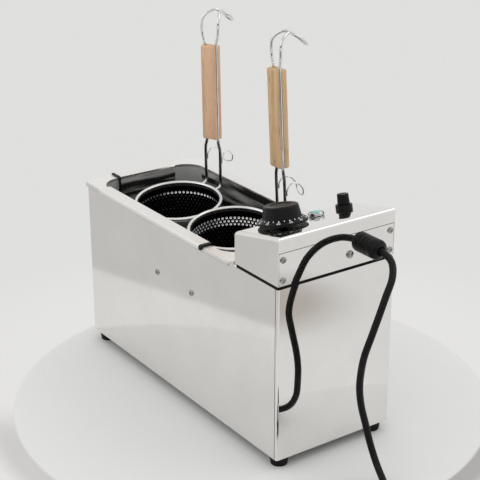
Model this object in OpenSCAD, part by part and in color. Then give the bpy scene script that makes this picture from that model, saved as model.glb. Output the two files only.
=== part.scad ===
// Counter-top electric pasta cooker: a stainless casing, a lift-out tank, a lift-off
// control head with a heating element, a basket rack and two perforated baskets.
// Millimetres, +Z up. X runs along the tank towards the control head, -Y is the front.
// The origin is on the worktop, under the middle of the casing.

/* [Casing] */
// Length of the casing
casing_l = 450; // [440:5:520]
// Width of the casing
casing_w = 176; // [172:2:220]
// Height of the casing's walls
casing_h = 226; // [220:1:260]
// Thickness of the casing's sheet
sheet = 1; // [0.8:0.1:1.3]
// Outside radius of the casing's upright bends
bend_r = 3; // [2:0.5:4]
// Width of the returns along the casing's top and bottom edges
return_w = 7; // [6:0.5:9]
// Gap of the seam between the wrap and the end panel
seam = 0.6; // [0.3:0.1:1]
// Length of the end panel's flange behind the wrap
tuck_l = 12; // [8:1:20]

/* [Feet] */
// Height of a foot
foot_h = 14; // [10:1:25]
// Diameter of a foot at its top
foot_d = 24; // [20:1:30]
// Diameter of a foot at the worktop
foot_tip_d = 21; // [18:1:24]
// Distance of a foot from the ends of the casing
foot_inset_x = 15; // [13:1:60]
// Distance of a foot from the sides of the casing
foot_inset_y = 15; // [13:1:40]

/* [Side screws] */
// Distance between the two screws on a long side
side_screw_pitch = 82; // [60:2:140]
// Depth of the side screws below the casing's top
side_screw_drop = 71; // [50:1:110]
// Diameter of a screw's shank
screw_d = 4; // [3:0.5:5]
// Diameter of a screw's head
screw_head_d = 8; // [7:0.5:10]
// Height of a screw's head
screw_head_h = 2.2; // [1.5:0.1:3]
// Length of the channels that steady the tank
guide_l = 120; // [100:5:200]
// Height of the channels that steady the tank
guide_h = 36; // [24:2:60]

/* [Tank] */
// Depth of the tank below the casing's top
tank_depth = 196; // [185:1:205]
// Thickness of the tank's sheet
tank_t = 1; // [0.8:0.1:1.5]
// Inside radius of the tank's upright corners
tank_corner_r = 30; // [26:1:34]
// Inside radius of the edge round the tank's floor
tank_floor_r = 12; // [8:1:13]
// Gap between the tank and the casing's returns
tank_gap = 2; // [1:0.5:4]
// Gap between the tank's end and the casing's return
tank_gap_end = 6; // [4:1:12]
// Width of the flange at the head
flange_head_w = 18; // [14:1:24]
// Thickness of the folded flange
flange_t = 2.5; // [2:0.1:3.5]
// Overhang of the flange past the casing's sides
flange_over = 2.5; // [2:0.1:4]
// Height of the flange's turned-down lip below the casing's top
lip_h = 4; // [3:0.5:8]
// Radius of the flange's corners at the head
flange_corner_r = 12; // [8:1:16]

/* [Control head] */
// Length of the head
head_l = 87; // [80:1:100]
// Height of the head at the tank
head_front_h = 41; // [38:1:55]
// Slope of the head's top in degrees
head_slope = 12.5; // [8:0.5:18]
// Inset of the head from the casing's sides
head_inset = 1; // [0.5:0.5:3]
// Gap between the tank's flange and the head
head_gap = 6; // [4:1:15]
// Radius of the bends round the head's top
head_bend_r = 5; // [4:0.5:7]
// Height of the cover's lip above the end plate
head_lip_h = 19; // [14:1:22]
// Gap of the seam round the end plate
head_seam = 0.7; // [0.3:0.1:1]
// Height of the gasket between head and casing
gasket_h = 3.4; // [2:0.2:6]
// Width of the gasket
gasket_w = 4; // [3:0.5:5]
// Diameter of the locating pins under the head
pin_d = 6; // [5:0.5:8]

/* [Controls] */
// Distance of the controls from the head's tank side
controls_inset = 27; // [26:1:32]
// Place of the dial across the head, as a share of its width
dial_share = -0.207; // [-0.24:0.001:-0.197]
// Place of the lamp across the head, as a share of its width
lamp_share = 0.08; // [0.06:0.001:0.11]
// Place of the fuse holder across the head, as a share of its width
fuse_share = 0.328; // [0.29:0.001:0.355]
// Diameter of the dial's skirt
dial_skirt_d = 61; // [54:1:64]
// Diameter of the dial's cap
dial_cap_d = 47; // [40:1:48]
// Height of the dial above the head's top
dial_h = 24; // [20:1:30]
// Diameter of the dial's shaft
shaft_d = 6; // [5:0.5:7]
// Diameter of the lamp's bezel
lamp_d = 20; // [16:1:24]
// Diameter of the fuse holder's collar
fuse_collar_d = 21; // [20:1:24]
// Diameter of the fuse cap
fuse_cap_d = 15.5; // [15:0.5:17]
// Height of the fuse cap above its collar
fuse_cap_h = 13; // [10:1:18]

/* [Heating element] */
// Diameter of the element's tube
element_d = 8; // [6:0.5:9]
// Radius of the element's upright bends
element_bend_r = 20; // [16:1:22]
// Radius of the element's turns on the tank's floor
element_turn_r = 14; // [10:1:15]
// Height of the element's axis above the tank's floor
element_rise = 22; // [16:1:24]
// Height of the element's axis above the flange
element_over = 9.5; // [7:0.5:12]
// Distance of the element's outer runs from the tank's wall
element_margin = 26; // [22:1:30]
// Diameter of the thermostat's bulb
bulb_d = 6; // [4:0.5:7]
// Length of the thermostat's bulb
bulb_l = 100; // [60:5:130]

/* [Basket rack] */
// Thickness of the rack's sheet
rack_t = 2.2; // [1:0.1:2.4]
// Height of the rack's floor above the tank's floor
rack_rise = 41; // [40:1:50]
// Length of the rack's plates along the tank
rack_hook_l = 252; // [120:1:252]
// Width of the rack's plate at the tank's end
rack_end_w = 92; // [60:1:94]
// Gap between the rack's plates and the tank's walls
rack_gap = 1.5; // [1:0.1:3]
// Height of the turned-down lip of the rack's plates
rack_lip_h = 6; // [4:0.5:8]
// Diameter of the holes in the rack's floor
rack_hole_d = 9; // [6:0.5:11]
// Spacing of the holes in the rack's floor
rack_hole_pitch = 20; // [16:1:30]

/* [Baskets] */
// Outside radius of a basket's rim
rim_r = 60.5; // [56:0.5:62]
// Diameter of the rim's wire
rim_wire_d = 3.8; // [3:0.1:5]
// Gap between the two rims
rim_gap = 1.2; // [0.6:0.2:6]
// Depth of a basket below its rim
cup_depth = 144.5; // [120:0.5:150]
// Thickness of the basket's sheet
cup_t = 0.8; // [0.6:0.1:1.2]
// Outside radius of the cup at its floor
cup_floor_r = 51; // [46:1:54]
// Radius of the edge round the cup's floor
cup_edge_r = 12; // [8:1:16]
// Height of the plain band below the rim
cup_band_h = 20; // [14:1:40]
// Diameter of the holes in the cup
cup_hole_d = 7; // [5:0.5:8]
// Holes in one ring of the cup
cup_holes = 16; // [12:2:20]
// Height between two rings of holes
cup_hole_rise = 15; // [12:0.5:20]
// Place of the far basket across the tank
basket_y_1 = -10; // [-11:1:4]
// Place of the near basket across the tank
basket_y_2 = -3; // [-11:1:4]
// Turn of the far basket in degrees
basket_turn_1 = 11; // [-20:1:20]
// Turn of the near basket in degrees
basket_turn_2 = -14; // [-20:1:20]

/* [Handles] */
// Diameter of the handle's wire
wire_d = 4; // [3:0.1:4.4]
// Distance of the handle's wires from the rim
wire_out = 7.5; // [5:0.5:12]
// Lean of the far handle towards its basket in degrees
handle_lean_1 = 1; // [0:0.5:5]
// Lean of the near handle towards its basket in degrees
handle_lean_2 = 2.5; // [0:0.5:5]
// Height of the grips above the tank's flange
grip_z = 63.5; // [50:0.5:80]
// Length of the grip
grip_l = 130; // [100:1:150]
// Width of the grip between its grooves
grip_w = 24; // [22:1:30]
// Thickness of the grip
grip_t = 20; // [16:1:24]
// Bevel of the grip's edges
grip_bevel = 4.5; // [3:0.5:6]
// Height of the wire loop above the grip
loop_h = 46; // [40:1:60]
// Reach of the loop's hook
loop_reach = 42; // [32:1:48]
// Height of the pot hooks above the tank's flange
pot_over = 26.5; // [24:0.5:32]
// Diameter of the pot hook's wire
pot_wire_d = 2.2; // [1.8:0.1:3]
// Reach of the pot hook from the handle
pot_reach = 24; // [18:1:28]

/* [Power cord] */
// Diameter of the cord
cord_d = 8.6; // [7:0.1:9]
// Length of the gland outside the end plate
gland_l = 22; // [18:1:30]
// Largest diameter of the gland
gland_d = 25; // [20:1:27]
// Place of the gland across the end plate
gland_y = 47.5; // [42:0.5:56]
// Height of the gland above the head's floor
gland_z = 20; // [17:1:22]
// Turns of the coil
coil_turns = 3.4; // [3:0.1:4]
// Radius of the coil's outer turn
coil_r = 54.5; // [50:0.5:60]
// Spacing of neighbouring turns
coil_pitch = 10.6; // [10.6:0.2:12]
// Spacing of the coil's two layers
coil_step = 9.4; // [9.4:0.2:11]
// Thickness of the tie's strap
tie_t = 1; // [0.6:0.1:1.2]
// Width of the tie's strap
tie_w = 8; // [5:1:15]
// Length of the plug's body
plug_l = 36; // [30:1:50]
// Width of the plug's body
plug_w = 34; // [30:1:42]
// Distance between the plug's pins
plug_pitch = 19; // [19:0.5:20]
// Diameter of the plug's pins
plug_pin_d = 4.8; // [4:0.1:5]
// Length of the plug's pins
plug_pin_l = 19; // [17:0.5:20]

/* [Hidden] */
$fn = 48;
// Gap between seated pieces that don't touch
seat = 0.3;
// Clearance of a screw in its hole, on the diameter
screw_play = 0.3;
// Clearance of a running shaft, on the diameter
shaft_play = 0.1;
// Overlap that lets a cut run past a face
cut = 1;

steel = [0.80, 0.80, 0.80];
dark_steel = [0.45, 0.45, 0.44];
black = [0.06, 0.06, 0.06];
beech = [0.80, 0.63, 0.45];

casing_top = foot_h + casing_h;
x_end = casing_l / 2;
y_wall = casing_w / 2;
joggle = 1;
wrap_x1 = x_end - bend_r - joggle - seam;
screw_hole_d = screw_d + screw_play;

// The head stands on the casing's end, and the tank fills the rest of its length.
head_x1 = x_end - head_inset;
head_x0 = head_x1 - head_l;
head_w = casing_w - 2 * head_inset;
head_z0 = casing_top + gasket_h;
head_top_z = head_z0 + head_front_h;
head_floor_t = 1.2;
head_seam_z = head_top_z + head_l * tan(head_slope) - head_lip_h;
flange_x1 = head_x0 - head_gap;
flange_x0 = -x_end - flange_over;
flange_w = casing_w + 2 * flange_over;
flange_top = casing_top + flange_t;
flange_end_r = flange_over + 2.5;
tank_x0 = -x_end + return_w + tank_gap_end + tank_t;
tank_x1 = flange_x1 - flange_head_w;
tank_mid_x = (tank_x0 + tank_x1) / 2;
tank_l = tank_x1 - tank_x0;
tank_w = casing_w - 2 * (return_w + tank_gap + tank_t);
tank_floor_z = casing_top - tank_depth;

guide_t = 1.2;
guide_gap = 0.6;
side_screw_z = casing_top - side_screw_drop;

// The controls stand square on the sloped top.
dial_y = dial_share * head_w;
lamp_y = lamp_share * head_w;
fuse_y = fuse_share * head_w;
controls_x = head_x0 + controls_inset;
controls_z = head_top_z + controls_inset * tan(head_slope);
bushing_d = shaft_d + 4;
lamp_body_d = lamp_d - 8;
fuse_body_d = fuse_collar_d - 5;
fuse_bore_d = fuse_body_d - 4;
panel_play = 0.4;
dial_gap = 2.5;
dial_edge_h = 3;
dial_skirt_h = 9;
dial_bore_h = 13.5;
thermostat_l = 44;
thermostat_w = 40;
thermostat_h = 24;

// The element leaves the head's front, drops into the tank and lies in two hairpins.
element_z = tank_floor_z + element_rise;
element_out_z = flange_top + element_over;
element_leg_x = tank_x1 - 13;
element_run_y = tank_w / 2 - element_margin;
element_inner_y = element_run_y - 2 * element_turn_r;
element_far_x = tank_x0 + 46;
element_turn_x = tank_x1 - 73;
element_stub_x = head_x0 + 15;
capillary_d = 2.4;
capillary_gap = 11;
capillary_end_x = head_x0 + controls_inset - 20;
capillary_bend_r = 8;
bulb_z = element_z + (element_d + bulb_d) / 2 + seat;
bulb_x0 = tank_mid_x - 11;

rack_z = tank_floor_z + rack_rise;
rack_top_z = flange_top + seat + rack_t;
rack_leg_y = tank_w / 2 - rack_gap - rack_t;
rack_leg_x = tank_x0 + rack_gap + rack_t;
rack_lip_y = flange_w / 2 + 0.6 + rack_t;
rack_lip_x = flange_x0 - 0.6 - rack_t;
rack_bend_r = rack_t + 1;
rack_foot_w = 12;
rack_hook_x = tank_mid_x - 5.5;
rack_inset = rack_gap + rack_bend_r + 0.2;
rack_x1 = element_leg_x - 14;

rim_z = rack_z + rack_t + seat + cup_depth;
rim_drop = flange_top - rim_z;
basket_pitch = 2 * rim_r + rim_gap;
basket_x = [tank_mid_x - basket_pitch / 2, tank_mid_x + basket_pitch / 2];
basket_y = [basket_y_1, basket_y_2];
basket_turn = [basket_turn_1, basket_turn_2];
handle_lean = [handle_lean_1, handle_lean_2];
cup_top_z = -rim_wire_d / 2;
cup_top_r = rim_r - rim_wire_d + 0.8;
wire_y = rim_r + wire_out;
wire_x = grip_w / 2 + 2;
groove_x = grip_w / 2 - 1.2;
loop_x = grip_w / 2 + 3;

gland_x0 = head_x1;
gland_axis_z = head_z0 + gland_z;
cord_r = cord_d / 2;

// Shape of the cord from the gland to the coil, chosen by hand: distances from the gland's
// mouth along X and Y, and the height as a share of the mouth's.
cord_shape = [[1, 0, 1], [24.7, -5.2, 0.9863], [42.4, -18.7, 0.9472], [50.8, -34.9, 0.8842],
    [53.5, -46.9, 0.803], [53.9, -57.2, 0.7175], [51.5, -64.5, 0.6287], [45.6, -63.7, 0.5376],
    [40.8, -60.8, 0.4457], [40.8, -57.2, 0.3531], [45.7, -53.5, 0.262], [52.1, -50.8, 0.1716],
    [65.2, -51.2, 0.0926], [85.1, -56, 0.0406], [107, -66.1, 0.022], [129, -77.5, 0.0216]];
cord_exit = [head_x1 + gland_l, gland_y, gland_axis_z];
cord_route = concat([cord_exit - [gland_l + 2, 0, 0]],
    [for (p = cord_shape) [cord_exit[0] + p[0], cord_exit[1] + p[1], cord_exit[2] * p[2]]]);
coil_start_angle = 65;
coil_start = cord_route[len(cord_route) - 1];
coil_centre = coil_start - coil_r * [cos(coil_start_angle), sin(coil_start_angle), 0];
coil_end_angle = coil_start_angle - 360 * coil_turns;
coil_rings = 24;
plug_z = coil_start[2] + coil_step;
plug_relief_l = 26;
plug_tail_l = 20;

function unit(v) = v / norm(v);

// Point at t between p1 and p2 on a Catmull-Rom curve.
function curve_point(p0, p1, p2, p3, t) =
    0.5 * (2 * p1 + (p2 - p0) * t + (2 * p0 - 5 * p1 + 4 * p2 - p3) * t * t
        + (3 * p1 - p0 - 3 * p2 + p3) * t * t * t);

// Smooth curve through points, with n steps from each point to the next.
function smooth(points, n) = let (last = len(points) - 1) [
    for (i = [0:last - 1]) for (k = [0:n - 1])
        curve_point(points[max(i - 1, 0)], points[i], points[i + 1],
            points[min(i + 2, last)], k / n),
    points[last]];

function tangents(path) = let (last = len(path) - 1) [
    for (i = [0:last]) unit(path[min(i + 1, last)] - path[max(i - 1, 0)])];

// Normals carried along a path without twist.
function normals(t, first) = [
    for (i = 0, n = unit(first - (first * t[0]) * t[0]); i < len(t); i = i + 1,
        n = i < len(t) ? unit(n - (n * t[i]) * t[i]) : n) n];

// Round tube along a path.
module tube(path, d, sides, first = [0, 0, 1]) {
    t = tangents(path);
    n = normals(t, first);
    last = len(path) - 1;
    points = [for (i = [0:last]) for (k = [0:sides - 1])
        path[i] + d / 2 * (cos(360 * k / sides) * n[i] + sin(360 * k / sides) * cross(t[i], n[i]))];
    walls = [for (i = [0:last - 1]) for (k = [0:sides - 1])
        let (a = i * sides + k, b = i * sides + (k + 1) % sides)
            each [[a, a + sides, b], [b, a + sides, b + sides]]];
    caps = [for (k = [1:sides - 2]) each [[0, k, k + 1],
        [last * sides, last * sides + k + 1, last * sides + k]]];
    polyhedron(points, concat(walls, caps), convexity = 6);
}

// Plan from x0 to x1 with width w and corner radii r0 and r1 at its two ends.
module plan(x0, x1, w, r0, r1) {
    translate([x0 + r0, -w / 2]) square([x1 - x0 - r0 - r1, w]);
    translate([x0, r0 - w / 2]) square([r0 + 0.01, w - 2 * r0]);
    translate([x1 - r1 - 0.01, r1 - w / 2]) square([r1 + 0.01, w - 2 * r1]);
    for (s = [-1, 1]) {
        translate([x0 + r0, s * (w / 2 - r0)]) circle(r0);
        translate([x1 - r1, s * (w / 2 - r1)]) circle(r1);
    }
}

// Quarter of a bent sheet, from the first axis round to the second.
module quarter_bend(r, t, turn) {
    rotate(turn) intersection() {
        difference() {
            circle(r);
            circle(r - t);
        }
        square(r + cut);
    }
}

// Place a piece along +X with its base at a point.
module along_x(p) {
    translate(p) rotate([0, 90, 0]) children();
}

// Button-head screw along +Z, with its seat at z = 0 and a cross recess in its head.
module button_screw(shank_l) {
    recess_l = screw_head_d * 0.56;
    recess_w = screw_head_d * 0.16;
    translate([0, 0, -shank_l]) cylinder(d = screw_d, h = shank_l + 0.01);
    difference() {
        rotate_extrude() intersection() {
            translate([0, screw_head_h - screw_head_d]) circle(screw_head_d);
            square([screw_head_d / 2, screw_head_h]);
        }
        for (a = [45, 135]) rotate(a) translate([-recess_l / 2, -recess_w / 2, screw_head_h * 0.4])
            cube([recess_l, recess_w, screw_head_h]);
    }
}

module wrap_plan(inset) {
    x1 = inset > 0 ? x_end : wrap_x1;
    r = bend_r - min(inset, sheet);
    translate([-x_end + inset, -y_wall + inset + r]) square([r, casing_w - 2 * inset - 2 * r]);
    translate([-x_end + inset + r, -y_wall + inset])
        square([x1 + x_end - inset - r, casing_w - 2 * inset]);
    for (s = [-1, 1]) translate([-x_end + inset + r, s * (y_wall - inset - r)]) circle(r);
}

module casing_wrap() {
    color(steel) difference() {
        translate([0, 0, foot_h]) {
            linear_extrude(casing_h) difference() {
                wrap_plan(0);
                wrap_plan(sheet);
            }
            for (z = [sheet, casing_h - sheet]) translate([0, 0, z])
                linear_extrude(sheet) difference() {
                    wrap_plan(0);
                    wrap_plan(return_w);
                }
        }
        side_screw_holes();
    }
}

module side_screw_holes() {
    for (s = [-1, 1]) translate([s * side_screw_pitch / 2, 0, side_screw_z])
        rotate([90, 0, 0]) cylinder(d = screw_hole_d, h = casing_w + 2 * cut, center = true);
}

module end_panel_plan() {
    translate([x_end - sheet, bend_r - y_wall]) square([sheet, casing_w - 2 * bend_r]);
    for (s = [0, 1]) mirror([0, s, 0]) {
        translate([x_end - bend_r, y_wall - bend_r]) quarter_bend(bend_r, sheet, 0);
        translate([x_end - bend_r - joggle, y_wall - 2 * sheet]) square([joggle + 0.01, 2 * sheet]);
    }
}

module end_panel() {
    color(steel) {
        translate([0, 0, foot_h]) linear_extrude(casing_h) end_panel_plan();
        for (s = [0, 1]) mirror([0, s, 0])
            translate([x_end - bend_r - joggle - tuck_l, y_wall - 2 * sheet, foot_h + 2 * sheet + seat])
                cube([tuck_l + 0.01, sheet, casing_h - 3 * sheet - 2 * seat]);
        translate([x_end - return_w, return_w + seat - y_wall, casing_top - sheet])
            cube([return_w - sheet / 2, casing_w - 2 * (return_w + seat), sheet]);
    }
}

module base_plate() {
    l = casing_l - 2 * (sheet + seat);
    w = casing_w - 4 * sheet - 2 * seat;
    color(steel) translate([0, 0, foot_h]) difference() {
        translate([-l / 2, -w / 2, 0]) cube([l, w, sheet]);
        at_feet() translate([0, 0, -cut]) cylinder(d = screw_hole_d, h = sheet + 2 * cut);
    }
}

// Plate under the head's gasket, below the casing's top returns.
module head_shelf() {
    x0 = flange_x1 + 1;
    w = casing_w - 4 * sheet - 2 * seat;
    color(steel) difference() {
        translate([x0, -w / 2, casing_top - 2 * sheet]) cube([x_end - return_w - seat - x0, w, sheet]);
        at_pins() cylinder(d = pin_d + 0.6, h = 8 * sheet, center = true);
    }
}

module at_pins() {
    for (s = [-1, 1])
        translate([(head_x0 + head_x1) / 2, s * head_w / 3, casing_top - 1.5 * sheet]) children();
}

// Channel between the casing's wall and the tank, on the front where side is -1.
module tank_guide(side) {
    depth = y_wall - sheet - (tank_w / 2 + tank_t + guide_gap);
    color(steel) difference() {
        translate([-guide_l / 2, 0, side_screw_z - guide_h / 2]) difference() {
            translate([0, side > 0 ? y_wall - sheet - depth : sheet - y_wall, 0])
                cube([guide_l, depth, guide_h]);
            translate([-cut, side > 0 ? y_wall - sheet - depth - cut : sheet + guide_t - y_wall, guide_t])
                cube([guide_l + 2 * cut, depth - guide_t + cut, guide_h - 2 * guide_t]);
        }
        side_screw_holes();
    }
}

module tank_guide_front() {
    tank_guide(-1);
}

module tank_guide_rear() {
    tank_guide(1);
}

side_screw_end = 2;

module side_screws() {
    color(steel) for (side = [-1, 1]) for (s = [-1, 1])
        translate([s * side_screw_pitch / 2, side * y_wall, side_screw_z])
            rotate([-90 * side, 0, 0]) button_screw(sheet + guide_t + side_screw_end);
}

foot_places = [for (sx = [-1, 1]) for (sy = [-1, 1])
    [sx * (x_end - foot_inset_x), sy * (y_wall - foot_inset_y), 0]];
foot_recess_d = screw_head_d + 1.4;
foot_recess_h = foot_h * 0.6;

module at_feet() {
    for (p = foot_places) translate(p) children();
}

// Tapered rubber foot with a recess for its screw.
module foot(i) {
    color(black) translate(foot_places[i]) difference() {
        cylinder(d1 = foot_tip_d, d2 = foot_d, h = foot_h);
        translate([0, 0, -cut]) cylinder(d = foot_recess_d, h = foot_recess_h + cut);
        cylinder(d = screw_hole_d, h = foot_h + cut);
    }
}

module foot_screws() {
    color(steel) at_feet() translate([0, 0, foot_recess_h]) {
        cylinder(d = screw_d, h = foot_h - foot_recess_h + sheet + 3);
        translate([0, 0, -screw_head_h]) cylinder(d = screw_head_d, h = screw_head_h);
    }
}

// Upright section of a pan with round floor edges, from the middle to one side.
module pan_half_section(half_w, h, r) {
    square([half_w - r, h]);
    translate([0, r]) square([half_w, h - r]);
    translate([half_w - r, r]) circle(r);
}

module pan_section(w, h, r) {
    for (s = [0, 1]) mirror([s, 0]) pan_half_section(w / 2, h, r);
}

// Pan-shaped block with round upright corners and round floor edges, floor at z = 0.
module pan_block(l, w, h, corner, r) {
    rotate([90, 0, 0]) translate([0, 0, corner - w / 2])
        linear_extrude(w - 2 * corner) pan_section(l, h, r);
    rotate([90, 0, 90]) translate([0, 0, corner - l / 2])
        linear_extrude(l - 2 * corner) pan_section(w, h, r);
    for (sx = [-1, 1]) for (sy = [-1, 1]) translate([sx * (l / 2 - corner), sy * (w / 2 - corner), 0])
        rotate_extrude() pan_half_section(corner, h, r);
}

// Folded flange with a lip that hangs outside the casing's walls.
module tank_flange() {
    translate([0, 0, casing_top]) linear_extrude(flange_t)
        plan(flange_x0, flange_x1, flange_w, flange_end_r, flange_corner_r);
    difference() {
        translate([0, 0, casing_top - lip_h]) linear_extrude(lip_h + 0.01) difference() {
            plan(flange_x0, flange_x1, flange_w, flange_end_r, flange_corner_r);
            plan(flange_x0 + tank_t, flange_x1 - tank_t, flange_w - 2 * tank_t,
                flange_end_r - tank_t, flange_corner_r - tank_t);
        }
        translate([flange_x1 - flange_corner_r, -y_wall - 0.4, casing_top - lip_h - cut])
            cube([flange_corner_r + cut, casing_w + 0.8, lip_h + cut]);
    }
}

module tank() {
    color(dark_steel) difference() {
        union() {
            translate([tank_mid_x, 0, tank_floor_z - tank_t])
                pan_block(tank_l + 2 * tank_t, tank_w + 2 * tank_t, tank_depth + 2 * tank_t,
                    tank_corner_r + tank_t, tank_floor_r + tank_t);
            tank_flange();
        }
        translate([tank_mid_x, 0, tank_floor_z])
            pan_block(tank_l, tank_w, tank_depth + flange_t + cut, tank_corner_r, tank_floor_r);
    }
}

// Side outline of the head, drawn in by inset, with round bends at both ends of its top.
module head_outline(inset, floor_z) {
    x0 = head_x0 + inset;
    x1 = head_x1 - inset;
    r0 = head_bend_r - inset;
    r1 = head_bend_r / 2 - inset;
    line_z = head_top_z - inset / cos(head_slope) - head_x0 * tan(head_slope);
    c0 = [x0 + r0, line_z + (x0 + r0) * tan(head_slope) - r0 / cos(head_slope)];
    c1 = [x1 - r1, line_z + (x1 - r1) * tan(head_slope) - r1 / cos(head_slope)];
    up = [-sin(head_slope), cos(head_slope)];
    polygon([[x0, floor_z], [x1, floor_z], [x1, c1[1]], c1 + r1 * up, c0 + r0 * up, [x0, c0[1]]]);
    translate(c0) circle(r0);
    translate(c1) circle(r1);
}

// Block of the head, with round bends along the sides of its sloped top.
module head_block(inset, floor_z) {
    w = head_w - 2 * inset;
    r = head_bend_r - inset;
    long = head_l * 3;
    intersection() {
        rotate([90, 0, 0]) translate([0, 0, -w / 2]) linear_extrude(w) head_outline(inset, floor_z);
        translate([head_x0, 0, head_top_z]) rotate([0, -head_slope, 0]) translate([-head_l, 0, -inset])
            rotate([90, 0, 90]) linear_extrude(long) {
                translate([-w / 2, -long]) square([w, long - r]);
                translate([r - w / 2, -long]) square([w - 2 * r, long]);
                for (s = [-1, 1]) translate([s * (w / 2 - r), -r]) circle(r);
            }
    }
}

module on_panel(y) {
    translate([controls_x, y, controls_z]) rotate([0, -head_slope, 0]) children();
}

end_plate_w = head_w - 2 * (sheet + head_seam);
end_screw_inset = 7;
end_screw_drop = 9;
end_screw_y = head_w / 2 - end_screw_inset;
end_screw_z = [head_z0 + end_screw_inset, head_seam_z - end_screw_drop];

module at_end_screws() {
    for (s = [-1, 1]) for (z = end_screw_z) along_x([head_x1, s * end_screw_y, z]) children();
}

module head_cover() {
    tab_w = 12;
    color(steel) difference() {
        union() {
            difference() {
                head_block(0, head_z0);
                head_block(sheet, head_z0 - cut);
                translate([head_x1 - 2 * sheet, -end_plate_w / 2 - head_seam, head_z0 - cut])
                    cube([2 * sheet + cut, end_plate_w + 2 * head_seam, head_seam_z + cut - head_z0]);
            }
            for (s = [0, 1]) mirror([0, s, 0])
                translate([head_x1 - 2 * sheet, head_w / 2 - sheet / 2 - tab_w, head_z0 + 2])
                    cube([sheet, tab_w, head_seam_z - head_z0 - 4]);
        }
        at_end_screws() cylinder(d = screw_hole_d, h = 8 * sheet, center = true);
        at_element_legs() cylinder(d = element_d + panel_play, h = 4 * sheet, center = true);
        along_x([head_x0, -element_run_y, element_out_z + capillary_gap])
            cylinder(d = capillary_d + panel_play, h = 4 * sheet, center = true);
        on_panel(dial_y) cylinder(d = bushing_d + panel_play, h = 4 * sheet, center = true);
        on_panel(lamp_y) cylinder(d = lamp_body_d + panel_play, h = 4 * sheet, center = true);
        on_panel(fuse_y) cylinder(d = fuse_body_d + panel_play, h = 4 * sheet, center = true);
    }
}

earth_y = 18;
earth_rise = 16;
earth_z = head_z0 + earth_rise;
earth_screw_l = 10;
earth_washer_t = 1.2;
earth_nut_h = 3;
gland_neck_d = gland_d - 7;

module head_end_plate() {
    color(steel) difference() {
        translate([head_x1 - sheet, -end_plate_w / 2, head_z0])
            cube([sheet, end_plate_w, head_seam_z - head_seam - head_z0]);
        at_end_screws() cylinder(d = screw_hole_d, h = 4 * sheet, center = true);
        along_x([head_x1, earth_y, earth_z]) cylinder(d = screw_hole_d, h = 4 * sheet, center = true);
        along_x([head_x1, gland_y, gland_axis_z])
            cylinder(d = gland_neck_d + panel_play, h = 4 * sheet, center = true);
    }
}

module head_base() {
    l = head_l - 3 * sheet - 2 * seat;
    w = head_w - 2 * (sheet + seat);
    color(steel) {
        translate([head_x0 + sheet + seat, -w / 2, head_z0]) cube([l, w, head_floor_t]);
        at_pins() translate([0, 0, -6]) cylinder(d = pin_d, h = head_z0 - casing_top + 6 + 2 * sheet);
    }
}

// Dark strip between the head and the casing's top.
module head_gasket() {
    l = head_l - 4;
    w = head_w - 2;
    color(black) translate([head_x0 + 2, 0, casing_top]) difference() {
        translate([0, -w / 2, 0]) cube([l, w, gasket_h]);
        translate([gasket_w, gasket_w - w / 2, -cut])
            cube([l - 2 * gasket_w, w - 2 * gasket_w, gasket_h + 2 * cut]);
    }
}

module end_screws() {
    color(steel) at_end_screws() button_screw(2 * screw_d);
}

module earth_terminal() {
    color(steel) along_x([head_x1, earth_y, earth_z]) {
        cylinder(d = screw_head_d + 2, h = earth_washer_t);
        translate([0, 0, earth_washer_t]) button_screw(earth_screw_l);
        translate([0, 0, -sheet - earth_nut_h]) cylinder(d = screw_head_d * 0.9, h = earth_nut_h, $fn = 6);
    }
}

// Part of a ring in the XZ plane, from one angle through another.
module upright_bend(centre, r, d, from, through) {
    translate(centre) rotate([90, 0, 0]) rotate(from) rotate_extrude(angle = through)
        translate([r, 0]) circle(d = d);
}

module flat_bend(centre, r, d, from, through) {
    translate(centre) rotate(from) rotate_extrude(angle = through) translate([r, 0]) circle(d = d);
}

module at_element_legs() {
    for (s = [-1, 1]) along_x([head_x0, s * element_run_y, element_out_z]) children();
}

module heating_element() {
    top_x = element_leg_x + element_bend_r;
    top_z = element_out_z - element_bend_r;
    low_x = element_leg_x - element_bend_r;
    low_z = element_z + element_bend_r;
    color(dark_steel) {
        for (s = [-1, 1]) {
            y = s * element_run_y;
            along_x([top_x, y, element_out_z]) cylinder(d = element_d, h = element_stub_x - top_x);
            along_x([element_stub_x, y, element_out_z]) cylinder(d = element_d / 2, h = 8);
            upright_bend([top_x, y, top_z], element_bend_r, element_d, 90, 90);
            translate([element_leg_x, y, low_z]) cylinder(d = element_d, h = top_z - low_z);
            upright_bend([low_x, y, low_z], element_bend_r, element_d, -90, 90);
            along_x([element_far_x, y, element_z]) cylinder(d = element_d, h = low_x - element_far_x);
            flat_bend([element_far_x, s * (element_run_y - element_turn_r), element_z],
                element_turn_r, element_d, 90, 180);
            along_x([element_far_x, s * element_inner_y, element_z])
                cylinder(d = element_d, h = element_turn_x - element_far_x);
        }
        flat_bend([element_turn_x, 0, element_z], element_inner_y, element_d, -90, 180);
    }
}

// Flanged sleeves of the element's legs on the head's front.
collar_play = 0.1;
collar_wall = 1.8;
collar_flange_w = 3.8;
collar_flange_h = 3;

module element_collars() {
    color(steel) at_element_legs() rotate_extrude() {
        translate([element_d / 2 + collar_play, -element_d]) square([collar_wall, element_d]);
        translate([element_d / 2 + collar_play, -collar_flange_h]) square([collar_flange_w, collar_flange_h]);
    }
}

module thermostat() {
    color(dark_steel) on_panel(dial_y) difference() {
        union() {
            translate([-thermostat_l / 2, -thermostat_w / 2, -sheet - seat - thermostat_h])
                cube([thermostat_l, thermostat_w, thermostat_h]);
            translate([0, 0, -sheet - 1]) cylinder(d = bushing_d, h = sheet + 1 + dial_gap - 0.5);
        }
        translate([0, 0, -thermostat_h / 2]) cylinder(d = shaft_d + shaft_play, h = thermostat_h);
    }
}

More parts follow.
